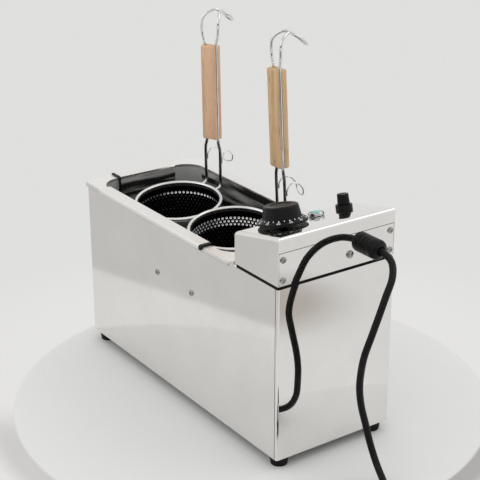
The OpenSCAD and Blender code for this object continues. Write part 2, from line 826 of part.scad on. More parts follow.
// Bulb that lies along the element, with its capillary up into the head.
module thermostat_bulb() {
    y = -element_run_y;
    x = element_leg_x - capillary_gap;
    top_x = element_leg_x + element_bend_r;
    top_z = element_out_z - element_bend_r;
    low_x = x - capillary_bend_r;
    low_z = bulb_z + capillary_bend_r;
    top_r = element_bend_r + capillary_gap;
    color([0.72, 0.45, 0.30]) {
        along_x([bulb_x0, y, bulb_z]) cylinder(d = bulb_d, h = bulb_l);
        along_x([bulb_x0 + bulb_l, y, bulb_z]) cylinder(d = capillary_d, h = low_x - bulb_x0 - bulb_l);
        upright_bend([low_x, y, low_z], capillary_bend_r, capillary_d, -90, 90);
        translate([x, y, low_z]) cylinder(d = capillary_d, h = top_z - low_z);
        upright_bend([top_x, y, top_z], top_r, capillary_d, 90, 90);
        along_x([top_x, y, top_z + top_r]) cylinder(d = capillary_d, h = capillary_end_x - top_x);
    }
}

lamp_bezel_h = 5;
lamp_ring_w = 2.2;

module lamp_body() {
    color(black) on_panel(lamp_y) {
        translate([0, 0, -24]) cylinder(d = lamp_body_d, h = 24 + seat);
        for (s = [-1, 1]) translate([-1.5, s * 3 - 0.4, -30]) cube([3, 0.8, 6.5]);
    }
}

module lamp_bezel() {
    r = lamp_d / 2;
    color(steel) on_panel(lamp_y) rotate_extrude()
        polygon([[r - lamp_ring_w - 1, seat], [r - 0.6, seat], [r, 0.9], [r, lamp_bezel_h - 2],
            [r - 1, lamp_bezel_h], [r - lamp_ring_w, lamp_bezel_h], [r - lamp_ring_w, seat + 1],
            [r - lamp_ring_w - 1, seat + 1]]);
}

module lamp_lens() {
    r = lamp_d / 2 - lamp_ring_w - 0.2;
    crown = 1.4;
    ball = (r * r + crown * crown) / (2 * crown);
    color([0.10, 0.60, 0.42]) on_panel(lamp_y) translate([0, 0, seat + 1 + 0.2]) {
        cylinder(r = r, h = lamp_bezel_h - seat - 1);
        translate([0, 0, lamp_bezel_h - seat - 1]) rotate_extrude() intersection() {
            translate([0, crown - ball]) circle(ball);
            square([r, crown]);
        }
    }
}

fuse_collar_h = 5;
fuse_depth = 28;

module fuse_holder() {
    color(black) on_panel(fuse_y) difference() {
        union() {
            cylinder(d = fuse_collar_d, h = fuse_collar_h);
            translate([0, 0, -fuse_depth]) cylinder(d = fuse_body_d, h = fuse_depth + 0.01);
            translate([0, 0, -fuse_depth - 6]) cylinder(d = 3, h = 6.5);
        }
        translate([0, 0, 2 - fuse_depth]) cylinder(d = fuse_bore_d, h = fuse_depth + fuse_collar_h);
    }
}

// Slotted cap with flat flutes and a hollow stem that grips the fuse.
module fuse_cap() {
    stem_d = fuse_bore_d - shaft_play;
    color(black) on_panel(fuse_y) translate([0, 0, fuse_collar_h + seat]) difference() {
        union() {
            cylinder(d1 = fuse_cap_d, d2 = fuse_cap_d - 1.5, h = fuse_cap_h);
            translate([0, 0, -8]) cylinder(d = stem_d, h = 8.01);
        }
        translate([-1, -fuse_cap_d / 2 - cut, fuse_cap_h - 2.5]) cube([2, fuse_cap_d + 2 * cut, 3.5]);
        for (k = [0:9]) rotate(36 * k + 18)
            translate([fuse_cap_d / 2 + 0.6, 0, 3.5]) cylinder(d = 3, h = fuse_cap_h);
        translate([0, 0, -9]) cylinder(d = 5.4, h = 10);
    }
}

module fuse_link() {
    color([0.8, 0.8, 0.8]) on_panel(fuse_y)
        translate([0, 0, fuse_collar_h + seat - 20.5]) cylinder(d = 5.2, h = 20);
}

module terminal_block() {
    w = 40;
    place = [head_x1 - 40, -w / 2 - 4, head_z0 + head_floor_t];
    color([0.85, 0.84, 0.78]) translate(place) difference() {
        cube([20, w, 16]);
        for (k = [0:3]) translate([10, 5 + 10 * k, 6]) cylinder(d = 4.5, h = 20);
        for (k = [0:3]) along_x([-cut, 5 + 10 * k, 5]) cylinder(d = 3.2, h = 20 + 2 * cut);
    }
}

module dial_shaft() {
    color(steel) on_panel(dial_y) translate([0, 0, -10]) cylinder(d = shaft_d, h = 10 + dial_bore_h);
}

// Dial with a ticked skirt, a plain cap and a round recess in its top.
module dial_knob() {
    skirt_r = dial_skirt_d / 2;
    cap_r = dial_cap_d / 2;
    edge_r = 2;
    top_r = cap_r - 2.2;
    color(black) on_panel(dial_y) difference() {
        rotate_extrude() {
            polygon([[0, dial_gap], [skirt_r, dial_gap], [skirt_r, dial_gap + dial_edge_h],
                [cap_r + 1, dial_skirt_h], [cap_r, dial_skirt_h], [top_r, dial_h - edge_r],
                [top_r - edge_r, dial_h], [0, dial_h]]);
            translate([top_r - edge_r, dial_h - edge_r]) circle(edge_r);
        }
        translate([0, 0, dial_h - 0.8]) cylinder(d = dial_cap_d * 0.56, h = cut);
        translate([0, 0, dial_gap - cut])
            cylinder(d = shaft_d + shaft_play, h = dial_bore_h - dial_gap + cut);
    }
}

gland_collar_h = 6;

// Collar and threaded neck of the gland, through the end plate.
module gland_body() {
    color(black) along_x([gland_x0, gland_y, gland_axis_z]) {
        difference() {
            union() {
                translate([0, 0, -sheet - 8]) cylinder(d = gland_neck_d, h = sheet + 8 + 0.01);
                cylinder(d = gland_d, h = gland_collar_h);
            }
            translate([0, 0, -sheet - 9]) cylinder(d = cord_d + 2 * seat, h = sheet + 10 + gland_collar_h);
        }
    }
}

// Smooth nut of the gland, tapered towards the cord, with a bore that widens at its mouth.
module gland_cap() {
    r = gland_d / 2;
    tip_r = cord_r + 2.2;
    h = gland_l - gland_collar_h;
    color(black) along_x([gland_x0 + gland_collar_h, gland_y, gland_axis_z]) rotate_extrude()
        polygon([[cord_r + 1.5 * seat, 0], [r, 0], [r, h * 0.66], [r - 0.8, h * 0.8],
            [tip_r + 1.2, h * 0.95], [tip_r, h], [cord_r + 4 * seat, h]]);
}

module gland_nut() {
    color(black) along_x([head_x1 - sheet - 5, gland_y, gland_axis_z]) difference() {
        cylinder(d = gland_d + 3, h = 5, $fn = 6);
        translate([0, 0, -cut]) cylinder(d = gland_neck_d + 0.2, h = 5 + 2 * cut);
    }
}

// Cord from inside the gland to just before the coil.
module power_cord() {
    path = smooth(cord_route, 2);
    last = len(path) - 1;
    back = seat * unit(path[last] - path[last - 1]);
    color(black) tube([for (i = [0:last]) i < last ? path[i] : path[i] - back], cord_d, 10);
}

// Radius and height of the coil after a number of turns: in on the lower layer,
// up a layer in the half turn at the middle, and out again on the upper one.
function coil_radius(turns) = let (run = (coil_turns - 0.5) / 2)
    coil_r - coil_pitch * (turns < run ? turns : turns < run + 0.5 ? run : coil_turns - turns);
function coil_height(turns) = let (run = (coil_turns - 0.5) / 2, t = min(max((turns - run) * 2, 0), 1))
    coil_start[2] + coil_step * t * t * (3 - 2 * t);
function coil_point(turns) = let (a = coil_start_angle - 360 * turns, r = coil_radius(turns))
    [coil_centre[0] + r * cos(a), coil_centre[1] + r * sin(a), coil_height(turns)];

coil_heading = [sin(coil_end_angle), -cos(coil_end_angle), 0];
coil_steps = round(coil_turns * coil_rings);
coil_end = coil_point(coil_turns);
coil_path = concat([for (i = [0:coil_steps]) coil_point(coil_turns * i / coil_steps)],
    [coil_end + plug_tail_l * coil_heading]);
coil_apart = min([for (i = [0:coil_steps]) for (j = [i + 12:1:coil_steps])
    norm(coil_path[i] - coil_path[j])]);
coil_gap = coil_apart - cord_d;
echo(coil_gap = coil_gap);

module cord_coil() {
    color(black) tube(coil_path, cord_d, 6);
}

// Strap round all turns of the coil.
module cord_tie() {
    run = (coil_turns - 0.5) / 2;
    angle = coil_start_angle - 130;
    r0 = coil_r - coil_pitch * run - cord_r - seat;
    r1 = coil_r + cord_r + seat;
    z0 = coil_start[2] - cord_r - seat;
    z1 = coil_start[2] + coil_step + cord_r + seat;
    color([0.12, 0.12, 0.12]) translate([coil_centre[0], coil_centre[1], 0]) rotate(angle)
        translate([0, tie_w / 2, 0]) rotate([90, 0, 0]) linear_extrude(tie_w) difference() {
            translate([r0 - tie_t, z0 - tie_t]) square([r1 - r0 + 2 * tie_t, z1 - z0 + 2 * tie_t]);
            translate([r0, z0]) square([r1 - r0, z1 - z0]);
        }
}

// Place a piece along the plug's axis, with its base where the cord's tail ends.
module along_plug() {
    end = coil_path[len(coil_path) - 1];
    translate(end) rotate(atan2(coil_heading[1], coil_heading[0])) children();
}

module plug_body() {
    h = 2 * plug_z;
    r = 9;
    color(black) along_plug() {
        rotate([0, 90, 0]) rotate_extrude()
            polygon([[0, 0], [cord_r + 0.8, 0], [cord_r + 3.5, plug_relief_l], [0, plug_relief_l]]);
        translate([plug_relief_l, 0, 0]) rotate([90, 0, 90]) linear_extrude(plug_l) {
            square([plug_w, h - 2 * r], center = true);
            square([plug_w - 2 * r, h], center = true);
            for (sy = [-1, 1]) for (sz = [-1, 1])
                translate([sy * (plug_w / 2 - r), sz * (h / 2 - r)]) circle(r);
        }
    }
}

module plug_pins() {
    color(steel) along_plug() for (s = [-1, 1])
        along_x([plug_relief_l + plug_l, s * plug_pitch / 2, 0]) {
            cylinder(d = plug_pin_d, h = plug_pin_l - plug_pin_d / 2);
            translate([0, 0, plug_pin_l - plug_pin_d / 2]) sphere(d = plug_pin_d);
        }
}

// Section of a rack plate: lip, top, leg and foot. The first axis points out of the tank.
module rack_section(leg, lip) {
    r = rack_bend_r;
    foot_z = rack_z - rack_t;
    translate([lip - rack_t, rack_top_z - rack_lip_h]) square([rack_t, rack_lip_h - r]);
    translate([lip - r, rack_top_z - r]) quarter_bend(r, rack_t, 0);
    translate([leg + r, rack_top_z - rack_t]) square([lip - leg - 2 * r, rack_t]);
    translate([leg + r, rack_top_z - r]) quarter_bend(r, rack_t, 90);
    translate([leg, foot_z + r]) square([rack_t, rack_top_z - foot_z - 2 * r]);
    translate([leg + rack_t - r, foot_z + r]) quarter_bend(r, rack_t, 270);
    translate([leg + rack_t - r - rack_foot_w, foot_z]) square([rack_foot_w + 0.01, rack_t]);
}

module rack_side() {
    color(steel) translate([rack_hook_x - rack_hook_l / 2, 0, 0])
        rotate([90, 0, 90]) linear_extrude(rack_hook_l) rack_section(rack_leg_y, rack_lip_y);
}

module rack_rear() {
    rack_side();
}

module rack_front() {
    mirror([0, 1, 0]) rack_side();
}

module rack_end() {
    color(steel) translate([0, rack_end_w / 2, 0]) rotate([90, 0, 0]) linear_extrude(rack_end_w)
        mirror([1, 0]) rack_section(-rack_leg_x, -rack_lip_x);
}

module rack_floor() {
    corner = tank_corner_r - rack_inset;
    x0 = tank_x0 + rack_inset;
    w = tank_w - 2 * rack_inset;
    nx = floor((rack_x1 - x0 - 30) / rack_hole_pitch / 2);
    ny = floor((w - 30) / rack_hole_pitch / 2);
    color(steel) translate([0, 0, rack_z]) linear_extrude(rack_t) difference() {
        plan(x0, rack_x1, w, corner, 6);
        for (i = [-nx:nx]) for (j = [-ny:ny])
            translate([(x0 + rack_x1) / 2 + i * rack_hole_pitch, j * rack_hole_pitch])
                circle(d = rack_hole_d);
    }
}

// Place a basket's piece, with z = 0 at the middle of the rim.
module at_basket(i) {
    translate([basket_x[i], basket_y[i], rim_z]) rotate(basket_turn[i]) children();
}

module cup_section(inset, top_z) {
    floor_z = inset - cup_depth;
    edge = [cup_floor_r - cup_edge_r, cup_edge_r - cup_depth];
    polygon([[0, floor_z], [edge[0], floor_z], [cup_floor_r - inset, edge[1]],
        [cup_top_r - inset, cup_top_z], [cup_top_r - inset, top_z], [0, top_z]]);
    intersection() {
        translate(edge) circle(cup_edge_r - inset);
        translate([0, -cup_depth]) square([cup_top_r, cup_depth]);
    }
}

// Perforated cup: staggered rings of holes in its wall and rings of holes in its floor.
module basket_cup(i) {
    wall_top = cup_top_z - cup_band_h;
    rings = floor((cup_depth - cup_edge_r + wall_top) / cup_hole_rise);
    floor_pitch = 15;
    floor_rings = floor((cup_floor_r - cup_edge_r - cup_hole_d / 2) / floor_pitch);
    color(dark_steel) at_basket(i) difference() {
        rotate_extrude() difference() {
            cup_section(0, cup_top_z);
            cup_section(cup_t, cut);
        }
        for (k = [0:rings]) for (j = [0:cup_holes - 1])
            rotate(360 / cup_holes * (j + (k % 2) / 2))
                along_x([cup_floor_r - 4, 0, wall_top - k * cup_hole_rise]) cylinder(d = cup_hole_d, h = 14);
        for (k = [0:floor_rings]) for (j = [0:max(6 * k - 1, 0)])
            rotate(k > 0 ? 60 * j / k : 0) translate([k * floor_pitch, 0, -cup_depth - cut])
                cylinder(d = cup_hole_d, h = cup_t + 2 * cut);
    }
}

module basket_rim(i) {
    color(steel) at_basket(i) rotate_extrude()
        translate([rim_r - rim_wire_d / 2, 0]) circle(d = rim_wire_d);
}

// Point of a basket's handle, leaned in proportion to its height.
function leaned(p, i) = [p[0], p[1] - p[2] * tan(handle_lean[i]), p[2]];

// One half of the handle's wire, from the rim up through the grip to the hook's tip.
grip_base = rim_drop + grip_z;
grip_top = grip_base + grip_l;
loop_top = grip_top + loop_h;
wire_half = [
    [wire_x, sqrt(rim_r * rim_r - pow(wire_x - wire_d / 2, 2)) + seat, 0],
    [wire_x, wire_y - 3, 0.4], [wire_x, wire_y, 5], [wire_x, wire_y, 20],
    [wire_x, wire_y, grip_base - 18], [groove_x + 0.6, wire_y, grip_base - 7],
    [groove_x, wire_y, grip_base + 2], [groove_x, wire_y, grip_base + grip_l / 2],
    [groove_x, wire_y, grip_top - 2], [groove_x + 1.2, wire_y, grip_top + 6],
    [loop_x, wire_y, grip_top + 17], [loop_x, wire_y + 1, grip_top + 33],
    [loop_x - 4, wire_y + 7, loop_top - 4], [loop_x - 9.5, wire_y + 16, loop_top],
    [wire_d / 2 + 0.6, wire_y + loop_reach - 18, loop_top - 4],
    [5, wire_y + loop_reach - 10, loop_top - 9],
    [3.5, wire_y + loop_reach - 3, loop_top - 15],
    [0, wire_y + loop_reach, loop_top - 18]];

// Whole path from a half that ends on the middle plane.
function both_halves(half) = let (last = len(half) - 1) concat(half,
    [for (k = [1:last]) let (p = half[last - k]) [-p[0], p[1], p[2]]]);

module basket_wire(i) {
    path = [for (p = smooth(both_halves(wire_half), 3)) leaned(p, i)];
    color(steel) at_basket(i) tube(path, wire_d, 8);
}

// Wooden grip with bevelled edges and a groove for the wire in each side.
module basket_grip(i) {
    x = grip_w / 2;
    y = grip_t / 2;
    b = grip_bevel;
    groove = wire_d + 2 * seat;
    color(beech) at_basket(i) translate(leaned([0, wire_y, grip_base], i)) rotate([handle_lean[i], 0, 0])
        linear_extrude(grip_l / cos(handle_lean[i])) difference() {
            polygon([[b - x, -y], [x - b, -y], [x, b - y], [x, y - b],
                [x - b, y], [b - x, y], [-x, y - b], [-x, b - y]]);
            for (s = [-1, 1]) translate([s * groove_x, 0]) {
                circle(d = groove);
                translate([s > 0 ? 0 : -wire_d, -groove / 2]) square([wire_d, groove]);
            }
        }
}

// Half of the thin hook behind the handle, from its wire to the bottom of the hook.
pot_y = wire_y + (wire_d + pot_wire_d) / 2 + seat;
pot_z = rim_drop + pot_over;
pot_half = [
    [wire_x, pot_y, pot_z], [wire_x, pot_y + 0.6, pot_z + 8], [wire_x - 0.5, pot_y + 6, pot_z + 15],
    [wire_x - 1.5, pot_y + pot_reach - 9, pot_z + 15], [wire_x - 2, pot_y + pot_reach - 2, pot_z + 8],
    [wire_x - 2.5, pot_y + pot_reach, pot_z + 2], [wire_x - 5, pot_y + pot_reach, pot_z - 4],
    [0, pot_y + pot_reach, pot_z - 7]];

module basket_pot_hook(i) {
    path = [for (p = smooth(both_halves(pot_half), 3)) leaned(p, i)];
    color(steel) at_basket(i) tube(path, pot_wire_d, 8);
}

casing_wrap();
end_panel();
base_plate();
head_shelf();
tank_guide_front();
tank_guide_rear();
side_screws();
foot(0);  // foot_1
foot(1);  // foot_2
foot(2);  // foot_3
foot(3);  // foot_4
foot_screws();
tank();
head_cover();
head_end_plate();
head_base();
head_gasket();
end_screws();
earth_terminal();
heating_element();
element_collars();
thermostat();
thermostat_bulb();
lamp_body();
lamp_bezel();
lamp_lens();
fuse_holder();
terminal_block();
dial_shaft();
dial_knob();
fuse_cap();
fuse_link();
gland_body();
gland_cap();
gland_nut();
power_cord();
cord_coil();
cord_tie();
plug_body();
plug_pins();
rack_floor();
rack_front();
rack_rear();
rack_end();
basket_cup(0);  // basket_cup_1
basket_rim(0);  // basket_rim_1
basket_wire(0);  // basket_wire_1
basket_grip(0);  // basket_grip_1
basket_pot_hook(0);  // basket_pot_hook_1
basket_cup(1);  // basket_cup_2
basket_rim(1);  // basket_rim_2
basket_wire(1);  // basket_wire_2
basket_grip(1);  // basket_grip_2
basket_pot_hook(1);  // basket_pot_hook_2
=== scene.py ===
"""Looks of a counter-top pasta cooker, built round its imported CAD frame.

The file is laid out as an add-on and run as a script. Lengths are in metres unless a
name ends in mm. X runs along the tank towards the control head, -Y is the front and
Z is up, as in the CAD part.
"""

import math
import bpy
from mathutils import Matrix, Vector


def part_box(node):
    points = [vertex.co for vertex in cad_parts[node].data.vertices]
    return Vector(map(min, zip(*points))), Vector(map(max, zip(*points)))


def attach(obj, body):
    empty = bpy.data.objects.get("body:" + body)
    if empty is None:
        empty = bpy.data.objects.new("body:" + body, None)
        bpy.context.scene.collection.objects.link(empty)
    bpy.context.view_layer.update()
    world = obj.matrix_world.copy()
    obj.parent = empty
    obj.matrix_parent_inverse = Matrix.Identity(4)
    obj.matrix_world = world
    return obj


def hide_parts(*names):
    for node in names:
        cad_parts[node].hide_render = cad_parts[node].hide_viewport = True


bl_info = {
    "name": "Pasta cooker looks",
    "version": (1, 0, 0),
    "blender": (4, 5, 0),
    "location": "View3D > Sidebar > Cooker",
    "description": "Dresses the packed pasta cooker with fine shapes and finishes",
    "category": "Object",
}

import bmesh
import bpy
import numpy as np
from bpy.props import FloatProperty, FloatVectorProperty, IntProperty, PointerProperty
from mathutils import Matrix

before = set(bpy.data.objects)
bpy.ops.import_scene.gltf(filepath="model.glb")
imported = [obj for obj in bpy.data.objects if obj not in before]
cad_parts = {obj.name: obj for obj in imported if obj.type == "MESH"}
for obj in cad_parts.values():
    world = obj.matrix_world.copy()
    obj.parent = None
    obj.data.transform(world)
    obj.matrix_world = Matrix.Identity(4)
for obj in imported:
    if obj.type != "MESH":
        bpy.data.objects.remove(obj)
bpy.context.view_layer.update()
MM = 0.001


def node_box(node):
    """Lowest and highest corner of a CAD node, as arrays."""
    return np.array(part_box(node))


# Camera, with its axes right, up and back

CAMERA_EYE = (1.3330, -0.9102, 0.8655)
CAMERA_AXES = ((0.571, 0.821, -0.003), (-0.308, 0.218, 0.926), (0.760, -0.528, 0.378))
CAMERA_LENS_MM = 99.29
CAMERA_SENSOR_MM = 36.0

# Round stand under the object with the band beyond its edge where its side and shadow are painted as shade,
# and the sides and places that the polished sheets mirror

STAND_CENTRE, STAND_R, STAND_SHADE_BAND = (0.051, -0.002, 0.0), 0.315, (0.332, 0.366)
FRONT_SIDE, CAMERA_SIDE = (-0.308, -0.951, 0.0), (0.82, -0.57, 0.0)
DIM_PLACE, DARK_PLACE = (0.62, 0.20, 0.0), (1.20, -0.83, 0.0)
SEEN = ("Camera", "Glossy", "Transmission")

# Sizes repeated from the part's source

PANEL_SLOPE = math.radians(12.5)
PANEL_POINT_MM = (164.0, 284.4 + 27 * math.tan(PANEL_SLOPE))
DIAL_Y_MM = -36.018

RIM_R_MM, RIM_WIRE_MM = 60.5, 3.8
CUP_TOP_MM, CUP_FLOOR_MM, CUP_DEPTH_MM, CUP_EDGE_MM = 57.5, 51.0, 144.5, 12.0
BASKET_TURNS = (11.0, -14.0)
HANDLE_LEANS = (math.tan(math.radians(1.0)), math.tan(math.radians(2.5)))
WIRE_Y_MM, WIRE_X_MM, WIRE_D_MM = 68.0, 14.0, 4.0
GRIP_Z_MM, GRIP_L_MM, GRIP_W_MM, GRIP_T_MM = 74.0, 130.0, 24.0, 20.0
GROOVE_X_MM, LOOP_X_MM, LOOP_TOP_MM, LOOP_REACH_MM = 10.8, 15.0, 250.0, 42.0
POT_Y_MM, POT_Z_MM, POT_REACH_MM, POT_WIRE_MM = 71.4, 37.0, 24.0, 2.2

CORD_D_MM = 8.6
CORD_EXIT_MM = (246.0, 47.5, 263.4)
CORD_START_MM = (222.0, 47.5, 263.4)
CORD_SHAPE = (
    (1, 0, 1), (24.7, -5.2, 0.9863), (42.4, -18.7, 0.9472), (50.8, -34.9, 0.8842),
    (53.5, -46.9, 0.803), (53.9, -57.2, 0.7175), (51.5, -64.5, 0.6287), (45.6, -63.7, 0.5376),
    (40.8, -60.8, 0.4457), (40.8, -57.2, 0.3531), (45.7, -53.5, 0.262), (52.1, -50.8, 0.1716),
    (65.2, -51.2, 0.0926), (85.1, -56, 0.0406), (107, -66.1, 0.022), (129, -77.5, 0.0216),
)
CORD_ROUTE_MM = (CORD_START_MM, *(
    (CORD_EXIT_MM[0] + x, CORD_EXIT_MM[1] + y, CORD_EXIT_MM[2] * height) for x, y, height in CORD_SHAPE
))
COIL_TURNS, COIL_R_MM, COIL_PITCH_MM, COIL_STEP_MM = 3.4, 54.5, 10.6, 9.4
COIL_START_DEG, COIL_TAIL_MM = 65.0, 20.0

# Slope in X and Y and drop of each basket's mouth, which only the looks have

MOUTH_SLOPES, MOUTH_DROPS_MM = ((-0.062, 0.078), (-0.075, 0.085)), (0.5, 3.0)
MOUTH_FADE_MM = 62.0

# Sides of round tubes, and columns of turned pieces

TUBE_SIDES, TURNED_COLUMNS, RIM_COLUMNS = 14, 96, 128


# Geometry


def unit(v):
    """Vectors along the last axis, divided by their lengths."""
    return v / np.linalg.norm(v, axis=-1, keepdims=True)


def polar(radius, angle):
    """Plane points at radii and angles about the origin."""
    return np.stack([radius * np.cos(angle), radius * np.sin(angle)], -1)


def arc(centre, radius, start_deg, end_deg, steps):
    """Points of an arc in a plane, both ends included."""
    return centre + polar(radius, np.radians(np.linspace(start_deg, end_deg, steps)))


def eased(t):
    """Smooth step t t (3 - 2 t) from 0 to 1."""
    return t * t * (3 - 2 * t)


def curve_through(points, steps):
    """Catmull-Rom curve through points: on each span the cubic that passes both ends with
    slopes of half the chord between the neighbours, sampled at t = k / steps."""
    p = np.asarray(points, float)
    ends = np.concatenate([p[:1], p, p[-1:]])
    p0, p1, p2, p3 = ends[:-3, None], ends[1:-2, None], ends[2:-1, None], ends[3:, None]
    t = (np.arange(steps) / steps)[None, :, None]
    spans = 0.5 * (
        2 * p1 + (p2 - p0) * t + (2 * p0 - 5 * p1 + 4 * p2 - p3) * t**2
        + (3 * p1 - p0 - 3 * p2 + p3) * t**3
    )
    return np.concatenate([spans.reshape(-1, 3), p[-1:]])


def carried_frames(path, first=(0.0, 0.0, 1.0)):
    """Normal and side of each ring: the tangent is the central difference, the normal is carried
    from ring to ring with its part along the new tangent taken away, and the side is across both."""
    tangent = unit(np.gradient(path, axis=0))
    normal = np.empty_like(path)
    n = np.asarray(first, float)
    for i, t in enumerate(tangent):
        n = n - (n @ t) * t
        n = n / np.linalg.norm(n)
        normal[i] = n
    return normal, np.cross(tangent, normal)


def grid_quads(rows, cols):
    """Quads of rows of closed rings, with points numbered row by row."""
    i, j = np.arange(rows - 1)[:, None], np.arange(cols)[None, :]
    a, b = i * cols + j, i * cols + (j + 1) % cols
    return np.stack([a, b, b + cols, a + cols], -1).reshape(-1, 4)


def fan(ring, centre):
    """Triangles from a closed ring of point numbers to one centre point."""
    return np.stack([ring, np.roll(ring, -1), np.full_like(ring, centre)], -1)


def capped(rows, cols):
    """Faces of rows of closed rings, with a fan at each end to the two points after them."""
    n = rows * cols
    return [grid_quads(rows, cols), fan(np.arange(cols), n), fan(np.arange(n - cols, n), n + 1)]


def tube(path, radius):
    """Round tube: point (i, k) is path[i] + radius (cos a normal + sin a side), with
    a = 2 pi k / sides, closed by a fan at each end."""
    normal, side = carried_frames(path)
    a = np.linspace(0, 2 * np.pi, TUBE_SIDES, endpoint=False)[None, :, None]
    ring = path[:, None] + radius * (np.cos(a) * normal[:, None] + np.sin(a) * side[:, None])
    points = np.concatenate([ring.reshape(-1, 3), path[:1], path[-1:]])
    return points, capped(len(path), TUBE_SIDES)


def revolved(profile, columns):
    """Surface of revolution: point (i, k) is (r_i cos a, r_i sin a, z_i), a = 2 pi k / columns.
    Profile ends with r = 0 become single poles."""
    p = np.asarray(profile, float)
    a = np.linspace(0, 2 * np.pi, columns, endpoint=False)
    height = np.broadcast_to(p[:, 1, None, None], (len(p), columns, 1))
    rings = np.concatenate([polar(p[:, :1], a), height], -1)
    first, last = int(p[0, 0] == 0), len(p) - int(p[-1, 0] == 0)
    body = rings[first:last].reshape(-1, 3)
    faces = [grid_quads(last - first, columns)]
    if first:
        faces.append(fan(np.arange(columns), len(body)))
        body = np.concatenate([body, rings[0, :1]])
    if last < len(p):
        top = (last - first - 1) * columns
        faces.append(fan(np.arange(top, top + columns), len(body)))
        body = np.concatenate([body, rings[-1, :1]])
    return body, faces


def joined(parts):
    """Points and faces of several shapes as one."""
    points, faces, base = [], [], 0
    for p, f in parts:
        points.append(p)
        faces += [x + base for x in f]
        base += len(p)
    return np.concatenate(points), faces


def on_panel(points_mm, y_mm):
    """Points of the sloped panel's own frame (x up the slope, z out of it) in the row frame."""
    c, s = math.cos(PANEL_SLOPE), math.sin(PANEL_SLOPE)
    turn = np.array([[c, 0, -s], [0, 1, 0], [s, 0, c]])
    origin = np.array([PANEL_POINT_MM[0], y_mm, PANEL_POINT_MM[1]])
    return (np.asarray(points_mm, float) @ turn.T + origin) * MM


def basket_frame(index):
    """Centre of a basket's rim in metres, and its turn about Z as a matrix."""
    low, high = node_box(f"basket_rim_{index + 1}")
    a = math.radians(BASKET_TURNS[index])
    turn = np.array([[math.cos(a), -math.sin(a), 0], [math.sin(a), math.cos(a), 0], [0, 0, 1]])
    return (low + high) / 2, turn


def mouth_rise(points, index):
    """How far a basket's mouth stands above its middle height at points round its centre."""
    return points[:, :2] @ MOUTH_SLOPES[index] - MOUTH_DROPS_MM[index] * MM


def in_basket(points_mm, index):
    """Points of a basket's own frame, in millimetres from its rim's centre, in the row frame. Heights
    follow the mouth's slope and drop in full at the rim, fading to none away from it."""
    centre, turn = basket_frame(index)
    p = np.asarray(points_mm, float) * MM @ turn.T
    p[:, 2] += mouth_rise(p, index) * np.clip(1 - np.abs(p[:, 2]) / (MOUTH_FADE_MM * MM), 0, 1)
    return p + centre


def leaned(points_mm, index):
    """Points of a basket's handle, leaned towards the basket in proportion to their height."""
    p = np.array(points_mm, float)
    p[:, 1] -= p[:, 2] * HANDLE_LEANS[index]
    return p


def both_halves(half):
    """A path from a half that ends on the middle plane, and the half's mirror image back."""
    p = np.asarray(half, float)
    return np.concatenate([p, p[-2::-1] * (-1, 1, 1)])


# Objects and meshes


def listed(items, field, width=1, kind=np.int32):
    """One field of all of a mesh's items as an array, with a row for each item if it is wide."""
    values = np.empty(len(items) * width, kind)
    items.foreach_get(field, values)
    return values.reshape(-1, width) if width > 1 else values


def make_mesh(name, points, faces, smooth=True):
    """Mesh from an array of points and arrays of faces, merged, with faces pointing outwards."""
    mesh = bpy.data.meshes.new(name)
    mesh.from_pydata(points.tolist(), [], [f for part in faces for f in part.tolist()])
    work = bmesh.new()
    work.from_mesh(mesh)
    bmesh.ops.remove_doubles(work, verts=work.verts, dist=2e-7)
    bmesh.ops.recalc_face_normals(work, faces=work.faces)
    work.to_mesh(mesh)
    work.free()
    mesh.polygons.foreach_set("use_smooth", [smooth] * len(mesh.polygons))
    mesh.update()
    return mesh


def add_object(name, data):
    """New object of the scene, at the origin."""
    obj = bpy.data.objects.new(name, data)
    bpy.context.scene.collection.objects.link(obj)
    return obj


def set_pose(obj, right, up, back, place):
    """Stands a camera or lamp at a place, with its axes along three unit vectors."""
    pose = np.eye(4)
    pose[:3, :3] = np.stack([right, up, back], -1)
    pose[:3, 3] = place
    obj.matrix_world = Matrix(pose.tolist())


def add_piece(name, points, faces, material, body, slot, replaces=(), smooth=True):
    """New piece at the origin that rides on a body and stands for CAD nodes."""
    obj = add_object(name, make_mesh(name, points, faces, smooth))
    obj.data.materials.append(material)
    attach(obj, body)
    if replaces:
        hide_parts(*replaces)
    return obj


def keep_sharp(obj, degrees):
    """Marks edges sharper than an angle, so that smooth shading stops at them."""
    obj.data.set_sharp_from_angle(angle=math.radians(degrees))


def dress(node, material, bevel_mm=0.0, segments=2):
    """Gives a CAD node a finish and, where asked, softly rounded edges."""
    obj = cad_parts[node]
    obj.data.materials.clear()
    obj.data.materials.append(material)
    if bevel_mm:
        weld = obj.modifiers.new("Weld", "WELD")
        weld.merge_threshold = 1e-6
        bevel = obj.modifiers.new("Bevel", "BEVEL")
        bevel.width = bevel_mm * MM
        bevel.segments = segments
        bevel.limit_method = "ANGLE"
        bevel.angle_limit = math.radians(35)
        bevel.harden_normals = True
    return obj


# Materials


def shade(colour, factor):
    """A colour, darker or lighter by a factor."""
    return tuple(min(1.0, c * factor) for c in colour)


